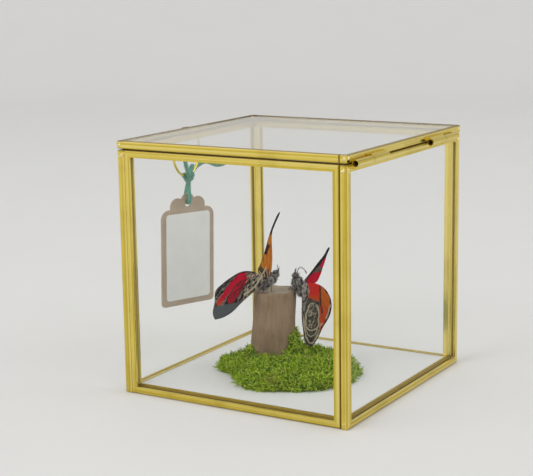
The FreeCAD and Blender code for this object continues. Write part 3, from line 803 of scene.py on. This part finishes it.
# %% Moss finish
f = finish("moss_green")
place = f.place()
cloud = f.noise(place, 0.09, 3.0)
grain = f.noise(place, 0.55, 3.0)
tip, shoot = [f.node("Attribute", {"attribute_name": name}, out="Fac") for name in ("tip", "shoot")]
MOSS = f.surface({
    "Base Color": f.coats(
        # Shoots are dark at the root and bright at the tip: partly the moss's own colour, partly painted
        # shade deep in the cushion and painted highlight on the tips.
        (0.075, 0.14, 0.008),
        ((0.36, 0.53, 0.025), f.fade(tip * 0.7 + grain * 0.5, 0.15, 0.8)),
        ((0.74, 0.78, 0.16), f.fade(shoot * 0.7 + grain * 0.3, 0.52, 0.76) * tip),
        ((0.07, 0.14, 0.012), f.fade(shoot, 0.28, 0.12) * 0.9),
        ((0.38, 0.36, 0.06), f.fade(cloud, 0.54, 0.70) * 0.45),
    ),
    "Roughness": 0.75 + grain * 0.2,
    "Specular IOR Level": 0.25,
    "Normal": f.bump(grain, 0.3),
})
print("finish", MOSS.name)

# %% Cushion of moss
CUSHION_RINGS, CUSHION_RISE = 26, 10.0
# Bays and bulges of the outline: at which angle, how wide, how far out.
BULGES = [(164, 42, -0.21), (204, 24, 0.09), (62, 40, 0.05)]


def hump(turn, middle, width):
    """1 at an angle of the outline, in degrees, falling to 0 a width away."""
    apart = abs((turn - middle + 180) % 360 - 180) / width
    return max(0.0, 1 - apart * apart) ** 2


def moss_cushion():
    """A closed lumpy cushion, drawn along, back and up from the foot of the stump."""
    bm = bmesh.new()
    bmesh.ops.create_circle(bm, cap_ends=True, segments=120, radius=1.0)
    bm.faces.ensure_lookup_table()
    heart = bm.faces[0]
    for _ in range(CUSHION_RINGS):
        bmesh.ops.inset_region(bm, faces=[heart], thickness=0.037, use_boundary=True)
    bmesh.ops.poke(bm, faces=[heart])
    for vert in bm.verts:
        share = min(1.0, vert.co.length)
        turn = math.degrees(math.atan2(vert.co.y, vert.co.x))
        reach = 0.94
        for middle, width, far in BULGES:
            reach += far * hump(turn, middle, width)
        angle = math.radians(turn)
        reach += 0.04 * noise.noise(Vector((math.cos(angle), math.sin(angle), 0)) * 5)
        along = 8.0 + 37.5 * reach * vert.co.x
        out = 7.0 + 33.0 * reach * vert.co.y
        rise = CUSHION_RISE * (1 - share ** 2.6) ** 0.5
        round_stump = math.degrees(math.atan2(out, along))
        gap = max(0.0, math.hypot(along, out) - 10.8)
        rise += 3.6 * hump(round_stump, 165, 75) * math.exp(-(gap / 2.4) ** 2)
        rise += 11.5 * math.exp(-(gap / 4.0) ** 2) / (1 + (round_stump / 43) ** 8)
        lumps = noise.noise(Vector((along, out, 0)) * 0.16) * 1.5
        lumps += noise.noise(Vector((along, out, 4)) * 0.45) * 0.7
        vert.co = (along, -out, FLOOR + 0.1 + max(0.0, rise + lumps * min(1.0, rise / 3)))
    rim = [edge for edge in bm.edges if edge.is_boundary]
    bmesh.ops.edgeloop_fill(bm, edges=rim)
    tidy(bm)
    return bm


cushion = moss_cushion()
print("cushion of", len(cushion.faces), "faces")

# %% Clumps of shoots
SHOOTS, PATTERNS, CLUMPS = 8, 6, 1310


def shoot_clump(chance):
    """Thin shoots that curl out from one root, each with a tone of its own."""
    bm = bmesh.new()
    tips, tones = [bm.verts.layers.float.new(name) for name in ("tip", "shoot")]
    for _ in range(SHOOTS):
        tall = chance.uniform(2.4, 4.8)
        count = len(bm.verts)
        made = bmesh.ops.create_cone(bm, segments=3, radius1=0.34, radius2=0.16, depth=1.0)["verts"]
        links = {edge for vert in made for edge in vert.link_edges}
        standing = [edge for edge in links if abs(edge.verts[0].co.z - edge.verts[1].co.z) > 0.5]
        bmesh.ops.subdivide_edges(bm, edges=standing, cuts=2)
        bm.verts.ensure_lookup_table()
        lean, curl = chance.uniform(0.0, 0.7), chance.uniform(0.5, 2.3)
        turned = Matrix.Rotation(chance.uniform(0, 2 * math.pi), 3, "Z")
        aside = Vector((chance.uniform(-1.2, 1.2), chance.uniform(-1.2, 1.2), 0))
        shade = chance.random()
        for vert in bm.verts[count:]:
            share = vert.co.z + 0.5
            angle = lean + curl * share
            along = tall * (math.cos(lean) - math.cos(angle)) / curl
            up = tall * (math.sin(angle) - math.sin(lean)) / curl
            thick = Vector((vert.co.x * math.cos(angle), vert.co.y, -vert.co.x * math.sin(angle)))
            vert.co = turned @ (Vector((along, 0, up)) + thick) + aside
            vert[tips] = share
            vert[tones] = shade
    return mesh_from(bm, "shoot_clump")


# %% Moss on its cushion
def pointed(aim):
    """A turn that points a shape's own Z along a direction."""
    return aim.to_track_quat("Z", "Y").to_matrix().to_4x4()


def plant(bm, count, seed):
    """Sets turned copies of a few clumps on the faces of a cushion, closest together round its rim."""
    chance = random.Random(seed)
    clumps = [shoot_clump(chance) for _ in range(PATTERNS)]
    soil = [face for face in bm.faces if face.normal.z > -0.2 and len(face.verts) < 5]
    middles = [face.calc_center_median().z for face in soil]
    shares = [face.calc_area() * (1.9 if z < FLOOR + 5.5 else 1.0) for face, z in zip(soil, middles)]
    spots = chance.choices(soil, weights=shares, k=count)
    places = []
    for face in spots:
        corner = chance.choice(face.verts).co
        root = face.calc_center_median().lerp(corner, chance.uniform(0, 0.9))
        aim = (face.normal + jitter(chance, 0.45)).normalized()
        spun = Matrix.Rotation(chance.uniform(0, 2 * math.pi), 4, "Z")
        sized = Matrix.Scale(chance.uniform(0.7, 1.1), 4)
        places.append(Matrix.Translation(root - aim * 0.4) @ pointed(aim) @ spun @ sized)
    for place in places:
        copy = chance.choice(clumps).copy()
        copy.transform(place)
        pour(bm, copy)
    for mesh in clumps:
        bpy.data.meshes.remove(mesh)


plant(cushion, CLUMPS, 11)
bmesh.ops.transform(cushion, matrix=DISPLAY, verts=cushion.verts)
moss = piece(cushion, "moss_cushion", [MOSS], "case")
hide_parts("moss_mound")

# %% [markdown]
# ## Butterfly wings
# A wing is a thin sheet between a leading and a trailing edge. A grid is laid between the two edges, so its
# rows run from root to tip as veins do, and it is cupped a little and thickened. Each vertex also keeps its
# place on the flat wing in millimetres from the chest, and the scales are painted by that place, not by
# where the wing happens to be in the box. The insects lean a little, so their far wings sit lower.


# %% Painting on a wing
class Wing(Finish):
    """The finish of a wing, drawn by the place on the flat wing, with a slight wander."""

    def __init__(self, name):
        super().__init__(bpy.data.materials.new(name))
        self.flat = self.node("Attribute", {"attribute_name": "wing_place"}, out="Vector")
        drift = self.node("TexNoise", None, {"Vector": self.flat, "Scale": 0.45, "Detail": 3.0}, "Color")
        wander = {0: drift, 1: (1.6, 1.6, 0.0), 2: self.flat}
        spot = self.node("VectorMath", {"operation": "MULTIPLY_ADD"}, wander)
        spot = self.node("VectorMath", {"operation": "SUBTRACT"}, {0: spot, 1: (0.8, 0.8, 0.0)})
        self.x, self.y = self.parts(spot)[:2]

    def apart(self, start, end):
        """Distance from a line between two places."""
        right, up = self.x - start[0], self.y - start[1]
        run, rise = end[0] - start[0], end[1] - start[1]
        share = ((right * run + up * rise) / (run ** 2 + rise ** 2)).least(1.0).most(0.0)
        across, over = right - share * run, up - share * rise
        return (across * across + over * over) ** 0.5

    def stroke(self, start, end, width):
        """1 on a stroke of that half width, 0 beside it."""
        return self.fade(self.apart(start, end), width + 0.35, width - 0.35)

    def chain(self, places, width):
        """1 on a thin line through several places, 0 beside it."""
        nearest, *others = [self.apart(start, end) for start, end in zip(places, places[1:])]
        for other in others:
            nearest = nearest.least(other)
        return self.fade(nearest, width + 0.2, width - 0.15)

    def beyond(self, start, end):
        """1 on the left of a line from start to end, 0 on its right."""
        run, rise = end[0] - start[0], end[1] - start[1]
        left = (self.y - start[1]) * run - (self.x - start[0]) * rise
        return self.fade(left / math.hypot(run, rise), -0.4, 0.4)

    def scribble(self, turn, run, width):
        """1 on thin wandering lines that run mostly at one angle, in degrees, across the wing."""
        turned = {"Vector": self.flat, "Rotation": (0, 0, math.radians(turn)), "Scale": (run, 1.0, 1.0)}
        spot = self.node("Mapping", {"vector_type": "TEXTURE"}, turned)
        return self.fade(self.noise(spot, 0.55, 2.0).away(0.5), width, width * 0.4)

    def rays(self, centre, count, low, high):
        """Thin lines that fan out from a place."""
        up, across = self.y - centre[1], self.x - centre[0]
        return self.fade((up.sum("ARCTAN2", up, across) * count).sine(), low, high)

    def scales(self, tone, *layers):
        """Ends a wing: coats of colour under fine rows of dusty scales."""
        rows = self.noise(self.place((2.5, 2.5, 2.5)), 1.0, 4.0, 0.65)
        dust = (0.02, 0.018, 0.016), self.fade(rows, 0.46, 0.30) * 0.5
        return self.surface({
            "Base Color": self.coats(tone, *layers, dust),
            "Roughness": 0.6 + rows * 0.25,
            "Specular IOR Level": 0.08,
            "Normal": self.bump(rows, 0.05),
        })


def fur(f):
    """The colour of a coat of dark and pale hairs."""
    coat = f.noise(f.place((1.0, 1.0, 0.5)), 0.9, 3.0, 0.65)
    return f.mix((0.035, 0.03, 0.028), (0.34, 0.31, 0.285), f.fade(coat, 0.40, 0.62))


CREAM, INK, CRIMSON = (0.42, 0.36, 0.26), (0.022, 0.019, 0.018), (0.46, 0.008, 0.028)
SCALES = {}

# %% Scales of the left butterfly
w = Wing("left_forewing")
SCALES["left_fore"] = w.scales(
    (0.50, 0.175, 0.022),
    ((0.37, 0.095, 0.012), w.rays((0.0, -6.0), 60, 0.2, 0.9)),
    ((0.05, 0.018, 0.028), w.stroke((-1.0, 13.4), (0.5, 17.0), 0.9)),
    (INK, w.chain([(-5.4, 4.0), (-3.9, 7.4), (-1.8, 13.6), (0.5, 21.5)], 0.45)),
    (INK, w.fade(w.y, 22.1, 23.1)),
    ((0.075, 0.045, 0.025), w.stroke((-4.6, 5.6), (-1.4, 2.4), 1.5)),
    (INK, w.fade(w.y, 6.0, 3.5) * w.rays((0.0, -6.0), 50, -0.3, 0.3) * 0.8),
    (CREAM, w.chain([(-0.9, 5.4), (-2.8, 2.2), (-4.4, 0.8)], 0.35)),
    (CREAM, w.fade(w.y, 5.0, 2.5) * w.rays((0.6, -6.0), 38, 0.5, 0.8)),
)

w = Wing("left_hindwing")
veins = w.rays((4.0, 7.0), 46, 0.72, 0.95)
lines = w.scribble(45.0, 3.0, 0.05)
pale = w.scribble(65.0, 2.6, 0.035) * w.beyond((-10.6, 4.5), (-12.6, -12.0))
red = w.mix(CRIMSON, (0.50, 0.06, 0.03), w.fade(w.y, -9.0, -14.0))
upper = w.stroke((-11.3, 4.4), (-17.5, -1.8), 1.25).most(w.stroke((-17.5, -1.8), (-25.2, -12.4), 1.3))
slate = w.mix((0.075, 0.085, 0.09), (0.10, 0.11, 0.115), w.noise(w.place(), 0.6))
SCALES["left_hind"] = w.scales(
    INK,
    ((0.24, 0.20, 0.17), lines * 0.8),
    ((0.11, 0.075, 0.065), w.stroke((-4.0, 2.4), (-9.6, 2.2), 1.8)),
    (CREAM, pale * w.fade(w.x, -1.0, -4.0)),
    (CRIMSON, w.stroke((-12.2, 0.4), (-19.0, -11.0), 1.9)),
    (INK, lines.most(veins) * 0.8 * w.stroke((-12.2, 0.0), (-19.2, -11.2), 2.4)),
    (red, upper),
    (slate, 1 - w.beyond((-27.0, -14.0), (-13.5, -12.0))),
    (INK, w.chain([(-5.5, 3.1), (-8.8, 4.1), (-13.5, 3.8), (-18.7, 1.0), (-24.0, -3.0)], 0.5)),
    (CREAM, w.chain([(-1.6, 3.2), (-2.9, 1.6), (-5.9, -2.8), (-9.8, -6.9), (-12.2, -8.0)], 0.4)),
)
print("finishes of", list(SCALES))

# %% Scales of the right butterfly
w = Wing("right_forewing")
SCALES["right_fore"] = w.scales(
    INK,
    ((0.12, 0.085, 0.08), w.stroke((7.0, 7.0), (10.0, 8.8), 1.7)),
    (CRIMSON, 1 - w.beyond((2.8, 4.0), (9.3, 6.2))),
    ((0.46, 0.010, 0.06), w.stroke((10.5, 9.2), (11.9, 13.0), 1.1)),
    (INK, w.rays((0.0, -2.0), 34, 0.9, 0.99) * 0.5),
    (INK, w.chain([(2.4, 2.7), (5.0, 5.9), (8.6, 9.9), (12.0, 14.1), (14.4, 18.2)], 0.85)),
    (fur(w), w.fade(w.x, 3.2, 2.4)),
)

w = Wing("right_hindwing")
scarlet = w.mix((0.54, 0.018, 0.016), (0.45, 0.06, 0.014), w.fade(w.y, -4.0, -9.0))
orange = w.mix((0.44, 0.10, 0.016), (0.47, 0.062, 0.022), w.fade(w.y, -9.0, -16.0))
inner = 1 - w.beyond((0.0, -6.6), (7.5, -8.9))
inner = inner * w.beyond((8.6, -28.0), (9.2, -9.0)).most(w.fade(w.y, -24.0, -26.0))
core = w.apart((5.9, -12.4), (5.1, -21.6))
girth = 3.3 - w.fade(w.y, -17.0, -9.5) * 1.3
loops = w.fade(core.away(girth), 0.55, 0.2) * w.fade(w.x.away(7.2) + w.y.away(-9.6), 1.2, 2.2)
loops = loops.most(w.scribble(75.0, 2.0, 0.05) * w.fade(core, 2.4, 1.8) * 0.8)
loops = loops.most(w.chain([
    (0.9, -18.0), (1.0, -22.0), (1.4, -25.6), (2.3, -29.2), (3.6, -31.4), (5.0, -31.6), (6.7, -29.8),
    (8.0, -27.2), (9.0, -24.4), (9.9, -21.0),
], 0.3))
loops = loops.most(w.chain([(2.0, -24.4), (3.2, -27.2), (4.8, -28.4), (6.6, -27.0), (7.8, -24.4)], 0.22))
SCALES["right_hind"] = w.scales(
    scarlet,
    (orange, w.fade(w.x, 8.8, 10.4)),
    ((0.26, 0.06, 0.025), w.rays((3.0, 6.0), 44, 0.5, 0.9) * 0.6),
    ((0.085, 0.075, 0.06), inner),
    (INK, inner * w.fade(w.noise(w.place(), 0.8, 3.0), 0.45, 0.6) * 0.8),
    (CREAM, loops * inner.most(w.fade(w.x, 9.0, 9.6)) * 0.95),
    (INK, w.chain([(9.4, -0.8), (9.5, -9.2), (10.4, -15.6)], 0.3)),
    (INK, w.chain([(11.8, -2.4), (14.7, -7.0), (15.3, -12.4), (12.8, -19.4), (9.4, -26.0)], 0.5)),
    (CREAM, w.chain([(14.6, -11.2), (13.9, -14.8), (12.4, -18.2)], 0.3)),
    (fur(w), w.fade(w.x + w.y.away(-3.6) * 0.25, 4.6, 3.6)),
)
print("finishes of", list(SCALES))

# %% Outlines of the wings
# Leading and trailing edge of each wing, from root to tip, in shares of REACH.
REACH = 35.0
WINGS = {
    "left_fore": [
        [(0.0, 0.0), (-0.1, 0.05), (-0.145, 0.105), (-0.117, 0.19), (-0.08, 0.28), (-0.03, 0.44),
         (0.03, 0.649), (0.106, 0.85), (0.168, 0.968), (0.19, 0.988)],
        [(0.0, 0.0), (0.043, 0.083), (0.066, 0.234), (0.069, 0.386), (0.063, 0.571), (0.073, 0.686),
         (0.13, 0.837), (0.182, 0.955), (0.19, 0.988)],
    ],
    "left_hind": [
        [(0.0, 0.0), (-0.157, 0.083), (-0.251, 0.111), (-0.386, 0.103), (-0.534, 0.026), (-0.686, -0.089),
         (-0.76, -0.163), (-0.78, -0.334), (-0.81, -0.53), (-0.78, -0.606)],
        [(0.0, 0.0), (-0.171, -0.165), (-0.271, -0.25), (-0.414, -0.38), (-0.534, -0.5), (-0.666, -0.577),
         (-0.78, -0.606)],
    ],
    "right_fore": [
        [(0.0, 0.0), (0.13, 0.158), (0.24, 0.298), (0.345, 0.43), (0.40, 0.525), (0.418, 0.542)],
        [(0.0, 0.0), (0.094, -0.031), (0.214, 0.017), (0.274, 0.117), (0.311, 0.231), (0.345, 0.326),
         (0.374, 0.425), (0.413, 0.515), (0.418, 0.542)],
    ],
    "right_hind": [
        [(0.0, 0.0), (0.13, 0.012), (0.266, -0.023), (0.349, -0.089), (0.406, -0.183), (0.434, -0.277),
         (0.426, -0.429), (0.38, -0.543), (0.303, -0.674), (0.226, -0.843), (0.134, -0.977)],
        [(0.0, 0.0), (0.005, -0.297), (0.0, -0.486), (0.02, -0.711), (0.057, -0.903), (0.134, -0.977)],
    ],
}
print(len(WINGS), "outlines of wings")

# %% Shape of a wing
ROWS, COLUMNS = 44, 18
WING_THICKNESS = 0.12


def even(points, count):
    """Points at even steps along a line of points."""
    runs = [0.0]
    for a, b in zip(points, points[1:]):
        runs.append(runs[-1] + (b - a).length)
    spots = []
    i = 0
    for step in range(count):
        wanted = runs[-1] * step / (count - 1)
        while i < len(runs) - 2 and runs[i + 1] < wanted:
            i += 1
        spots.append(points[i].lerp(points[i + 1], (wanted - runs[i]) / (runs[i + 1] - runs[i])))
    return spots


def wing_shape(edges, cup):
    """A thin cupped sheet between two edges, with its flat place kept on each vertex."""
    bm = bmesh.new()
    lead, trail = [
        even(drawn_line([(a * REACH, 0, b * REACH) for a, b in edge], "BEZIER"), ROWS + 1) for edge in edges
    ]
    bmesh.ops.create_grid(bm, x_segments=ROWS, y_segments=COLUMNS, size=0.5)
    flat = bm.verts.layers.float_vector.new("wing_place")
    for vert in bm.verts:
        row = round((vert.co.x + 0.5) * ROWS)
        share = vert.co.y + 0.5
        spot = lead[row].lerp(trail[row], share)
        vert[flat] = (spot.x, spot.z, 0.0)
        broad = (lead[row] - trail[row]).length
        pleat = 0.05 * math.sin(share * 30.0) * min(1.0, broad / 6)
        vert.co = spot + Vector((0, cup * broad * (share - share * share) + pleat, 0))
    tidy(bm)
    bmesh.ops.solidify(bm, geom=bm.faces, thickness=WING_THICKNESS)
    return bm


# %% Eight wings
WING_CUP, WING_LIFT, FAR_DROP = 0.10, 5.0, 1.9
STAND = {"fore": 3.175, "hind": 3.725}
INSECTS = {
    "left": {"root": Vector((-1.5, -6.0, 55.0)), "tilt": 45.0, "back": 1},
    "right": {"root": Vector((15.7, -2.0, 51.1)), "tilt": 105.0, "back": -1},
}


def head_and_back(insect):
    """Directions to the head and to the back, seen square on."""
    tilt = math.radians(insect["tilt"])
    head = Vector((math.cos(tilt), 0, math.sin(tilt)))
    back = Vector((-math.sin(tilt), 0, math.cos(tilt))) * insect["back"]
    return head, back


for side, insect in INSECTS.items():
    head = head_and_back(insect)[0]
    for wing, stand in STAND.items():
        for which, sign, drop in (("near", 1, 0.0), ("far", -1, FAR_DROP)):
            bm = wing_shape(WINGS[f"{side}_{wing}"], -WING_CUP * sign)
            lift = Matrix.Rotation(math.radians(WING_LIFT * sign * insect["back"]), 4, head)
            place = Matrix.Translation(insect["root"] + Vector((0, -sign * stand, -drop))) @ lift
            bmesh.ops.transform(bm, matrix=DISPLAY @ place, verts=bm.verts)
            name = f"{side}_{which}_{wing}wing"
            made = piece(bm, f"{name}_scales", [SCALES[f"{side}_{wing}"]], "case")
            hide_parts(name)

# %% [markdown]
# ## Butterfly bodies
# A body is turned like a chess piece: half an outline is spun about the body's own axis. A coat of short
# hairs hides the seams between head, chest and tail. Legs and feelers are thin tubes with a bend in them.

# %% Fuzz and horn
f = finish("insect_fuzz")
coat = f.noise(f.place(), 1.4, 4.0, 0.65)
FUZZ = f.surface({
    "Base Color": fur(f),
    "Roughness": 0.85,
    "Specular IOR Level": 0.2,
    "Normal": f.bump(coat, 0.15),
})
f = finish("insect_horn")
coat = f.noise(f.place(), 2.5, 3.0)
HORN = f.surface({
    "Base Color": f.mix((0.03, 0.022, 0.018), (0.10, 0.07, 0.05), coat),
    "Roughness": 0.35 + coat * 0.2,
})
print("finishes", FUZZ.name, "and", HORN.name)

# %% Shape of a body
OUTLINE = [
    (-0.5, 0.0), (-0.45, 0.4), (-0.3, 0.72), (-0.15, 0.78), (0.0, 1.0),
    (0.14, 0.85), (0.2, 0.55), (0.28, 0.62), (0.34, 0.4), (0.38, 0.0),
]
BODY_LENGTH, BODY_RADIUS, HAIRS = 15.2, 2.8, 1100


def body_shape(chance):
    """Head, chest and tail in one turned piece with a coat of hairs; own X runs to the head."""
    bm = bmesh.new()
    line = even(drawn_line([(x * BODY_LENGTH, 0, r * BODY_RADIUS) for x, r in OUTLINE], "BEZIER"), 40)
    verts = [bm.verts.new((p.x, 0, max(0.0, p.z))) for p in line]
    edges = [bm.edges.new(pair) for pair in zip(verts, verts[1:])]
    bmesh.ops.spin(
        bm, geom=verts + edges, cent=(0, 0, 0), axis=(1, 0, 0), angle=2 * math.pi, steps=24, use_merge=True
    )
    for vert in bm.verts:
        waist = 0.06 * math.sin(vert.co.x * 3.4) if vert.co.x < -2 else 0.0
        vert.co.y *= 1 + waist
        vert.co.z *= 1 + waist
    tidy(bm)
    # Merging leaves faces in an order that can change from run to run, so they are sorted by place.
    skin = sorted(bm.faces, key=lambda face: [round(share, 3) for share in face.calc_center_median()])
    chosen = chance.choices(skin, weights=[face.calc_area() for face in skin], k=HAIRS)
    roots = [(face.calc_center_median(), face.normal.copy()) for face in chosen]
    for root, aim in roots:
        lean = (aim + Vector((-0.9, 0, 0)) + jitter(chance, 0.4)).normalized()
        tall = chance.uniform(0.6, 1.6)
        turned = Matrix.Translation(root + lean * tall * 0.45) @ pointed(lean)
        bmesh.ops.create_cone(bm, segments=3, radius1=0.07, radius2=0.01, depth=tall, matrix=turned)
    return bm


def add_eyes(bm):
    """Two round eyes on the sides of the head, and two short palps before it."""
    for side in (-1, 1):
        spot = Matrix.Translation((4.2, side * 1.25, 0.35)) @ Matrix.Diagonal((1.0, 0.8, 1.1, 1.0))
        made = bmesh.ops.create_icosphere(bm, subdivisions=2, radius=0.62, matrix=spot)["verts"]
        second_finish({face for vert in made for face in vert.link_faces})
    count = len(bm.faces)
    palps = [[(4.6, side * 0.5, 0.0), (6.3, side * 0.9, 0.4), (7.6, side * 1.1, 1.4)] for side in (-1, 1)]
    add_tubes(bm, palps, 0.5, 1, lambda share: 1.1 - 0.8 * share)
    second_finish(bm.faces[count:])


# %% Legs and feelers
FEET = {"left": (-4.1, 0.4, -6.4), "right": (10.4, 9.0)}
FEELERS = {
    "left": [(5.0, 0.6, 0.9), (6.4, 0.9, 1.5), (7.6, 1.1, 2.7)],
    "right": [(5.0, 0.5, 1.2), (6.8, 0.8, 2.3), (7.4, 1.1, 3.6), (6.0, 1.5, 5.0), (3.6, 1.8, 5.8)],
}


def add_legs(bm, chest, feet):
    """A pair of bent legs from the chest to each of the places where feet stand on the stump."""
    legs = []
    for foot in feet:
        for sideways in (-1.2, 1.2):
            ground = Vector((foot, chest.y + sideways * 1.3, STUMP_TOP + 0.15))
            hip = chest + Vector((0, sideways * 0.8, 0))
            knee = hip.lerp(ground, 0.45) + Vector((0, sideways * 0.7, 0.9))
            legs.append(drawn_line([hip, knee, ground], "BEZIER", 6))
    count = len(bm.faces)
    add_tubes(bm, legs, 0.16, 1)
    bm.faces.ensure_lookup_table()
    second_finish(bm.faces[count:])


def feeler_shape(stance, points):
    """Two thin feelers that end in a small club."""
    bm = bmesh.new()
    lines = [[stance @ Vector((a, sign * b, c)) for a, b, c in points] for sign in (-1, 1)]
    smooth = [drawn_line(line, "BEZIER", 8) for line in lines]
    add_tubes(bm, smooth, 0.14, 1, lambda share: 0.8 if share < 0.9 else 1.5)
    return bm


# %% Two insects
for side, insect in INSECTS.items():
    head, back = head_and_back(insect)
    chest = insect["root"] - back * 2.0
    upright = Matrix((head, back.cross(head), back)).transposed().to_4x4()
    stance = Matrix.Translation(chest) @ upright
    bm = body_shape(random.Random(len(side)))
    bm.faces.ensure_lookup_table()
    add_eyes(bm)
    bmesh.ops.transform(bm, matrix=stance, verts=bm.verts)
    add_legs(bm, chest, FEET[side])
    bmesh.ops.transform(bm, matrix=DISPLAY, verts=bm.verts)
    body = piece(bm, f"{side}_insect", [FUZZ, HORN], "case")
    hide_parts(f"{side}_butterfly_body")
    bm = feeler_shape(stance, FEELERS[side])
    bmesh.ops.transform(bm, matrix=DISPLAY, verts=bm.verts)
    feelers = piece(bm, f"{side}_feelers", [HORN], "case")
    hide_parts(f"{side}_butterfly_feelers")

# %% [markdown]
# ## Solder
# The strips are joined with solder, which leaves small pale beads at the corners. A bead is a sphere that
# is flattened against the corner, and no two are quite alike. A thin tube along the top of the walls, under
# the seam, is dark painted shade that fills the seam so no light shows through it.

# %% Beads at the corners
CORNERS = [(x, y) for x in (-1, 1) for y in (-1, 1)]
# Beads of the case and of the lid: how far out, how high, and their half sizes.
BEADS = {
    "case": [(61.6, 2.4, (2.1, 2.1, 1.3)), (61.3, 120.6, (2.5, 2.5, 1.9))],
    "lid": [(62.0, 126.0, (1.75, 1.75, 1.5))],
}
f = finish("solder")
cloud = f.noise(f.place(), 0.9, 3.0)
SOLDER = f.surface({
    "Base Color": f.mix((0.85, 0.74, 0.38), (0.74, 0.58, 0.22), cloud),
    "Metallic": 1.0,
    "Roughness": 0.36 + cloud * 0.18,
    "Normal": f.bump(cloud, 0.2),
})


def bead_shapes(rows, seed):
    """Flattened uneven drops of solder, one at each corner for every row."""
    bm = bmesh.new()
    chance = random.Random(seed)
    for out, high, size in rows:
        for x, y in CORNERS:
            made = bmesh.ops.create_icosphere(bm, subdivisions=3, radius=1.0)["verts"]
            shift = Vector([chance.uniform(0, 50) for _ in range(3)])
            for vert in made:
                swell = 1 + 0.28 * noise.noise(vert.co * 1.4 + shift)
                drop = Vector([s * c * swell for s, c in zip(size, vert.co)])
                vert.co = drop + Vector((out * x, out * y, high))
    return bm


for body, seed in (("case", 21), ("lid", 22)):
    piece(bead_shapes(BEADS[body], seed), f"{body}_solder", [SOLDER], body)

# %% Dark tube of painted shade along the top of the walls
RUN_RADIUS, RUN_HEIGHT = 0.32, 123.45
bm = bmesh.new()
round_top = [Vector((WALL * x, WALL * y, RUN_HEIGHT)) for x, y in ((1, 1), (-1, 1), (-1, -1), (1, -1))]
add_tubes(bm, zip(round_top, round_top[1:] + round_top[:1]), RUN_RADIUS, 2)
# Its brass finish is painted dark as shade at this height, so the tube fills the seam with painted shade.
piece(bm, "seam_shade_tube", [BRASS["X"]], "case")
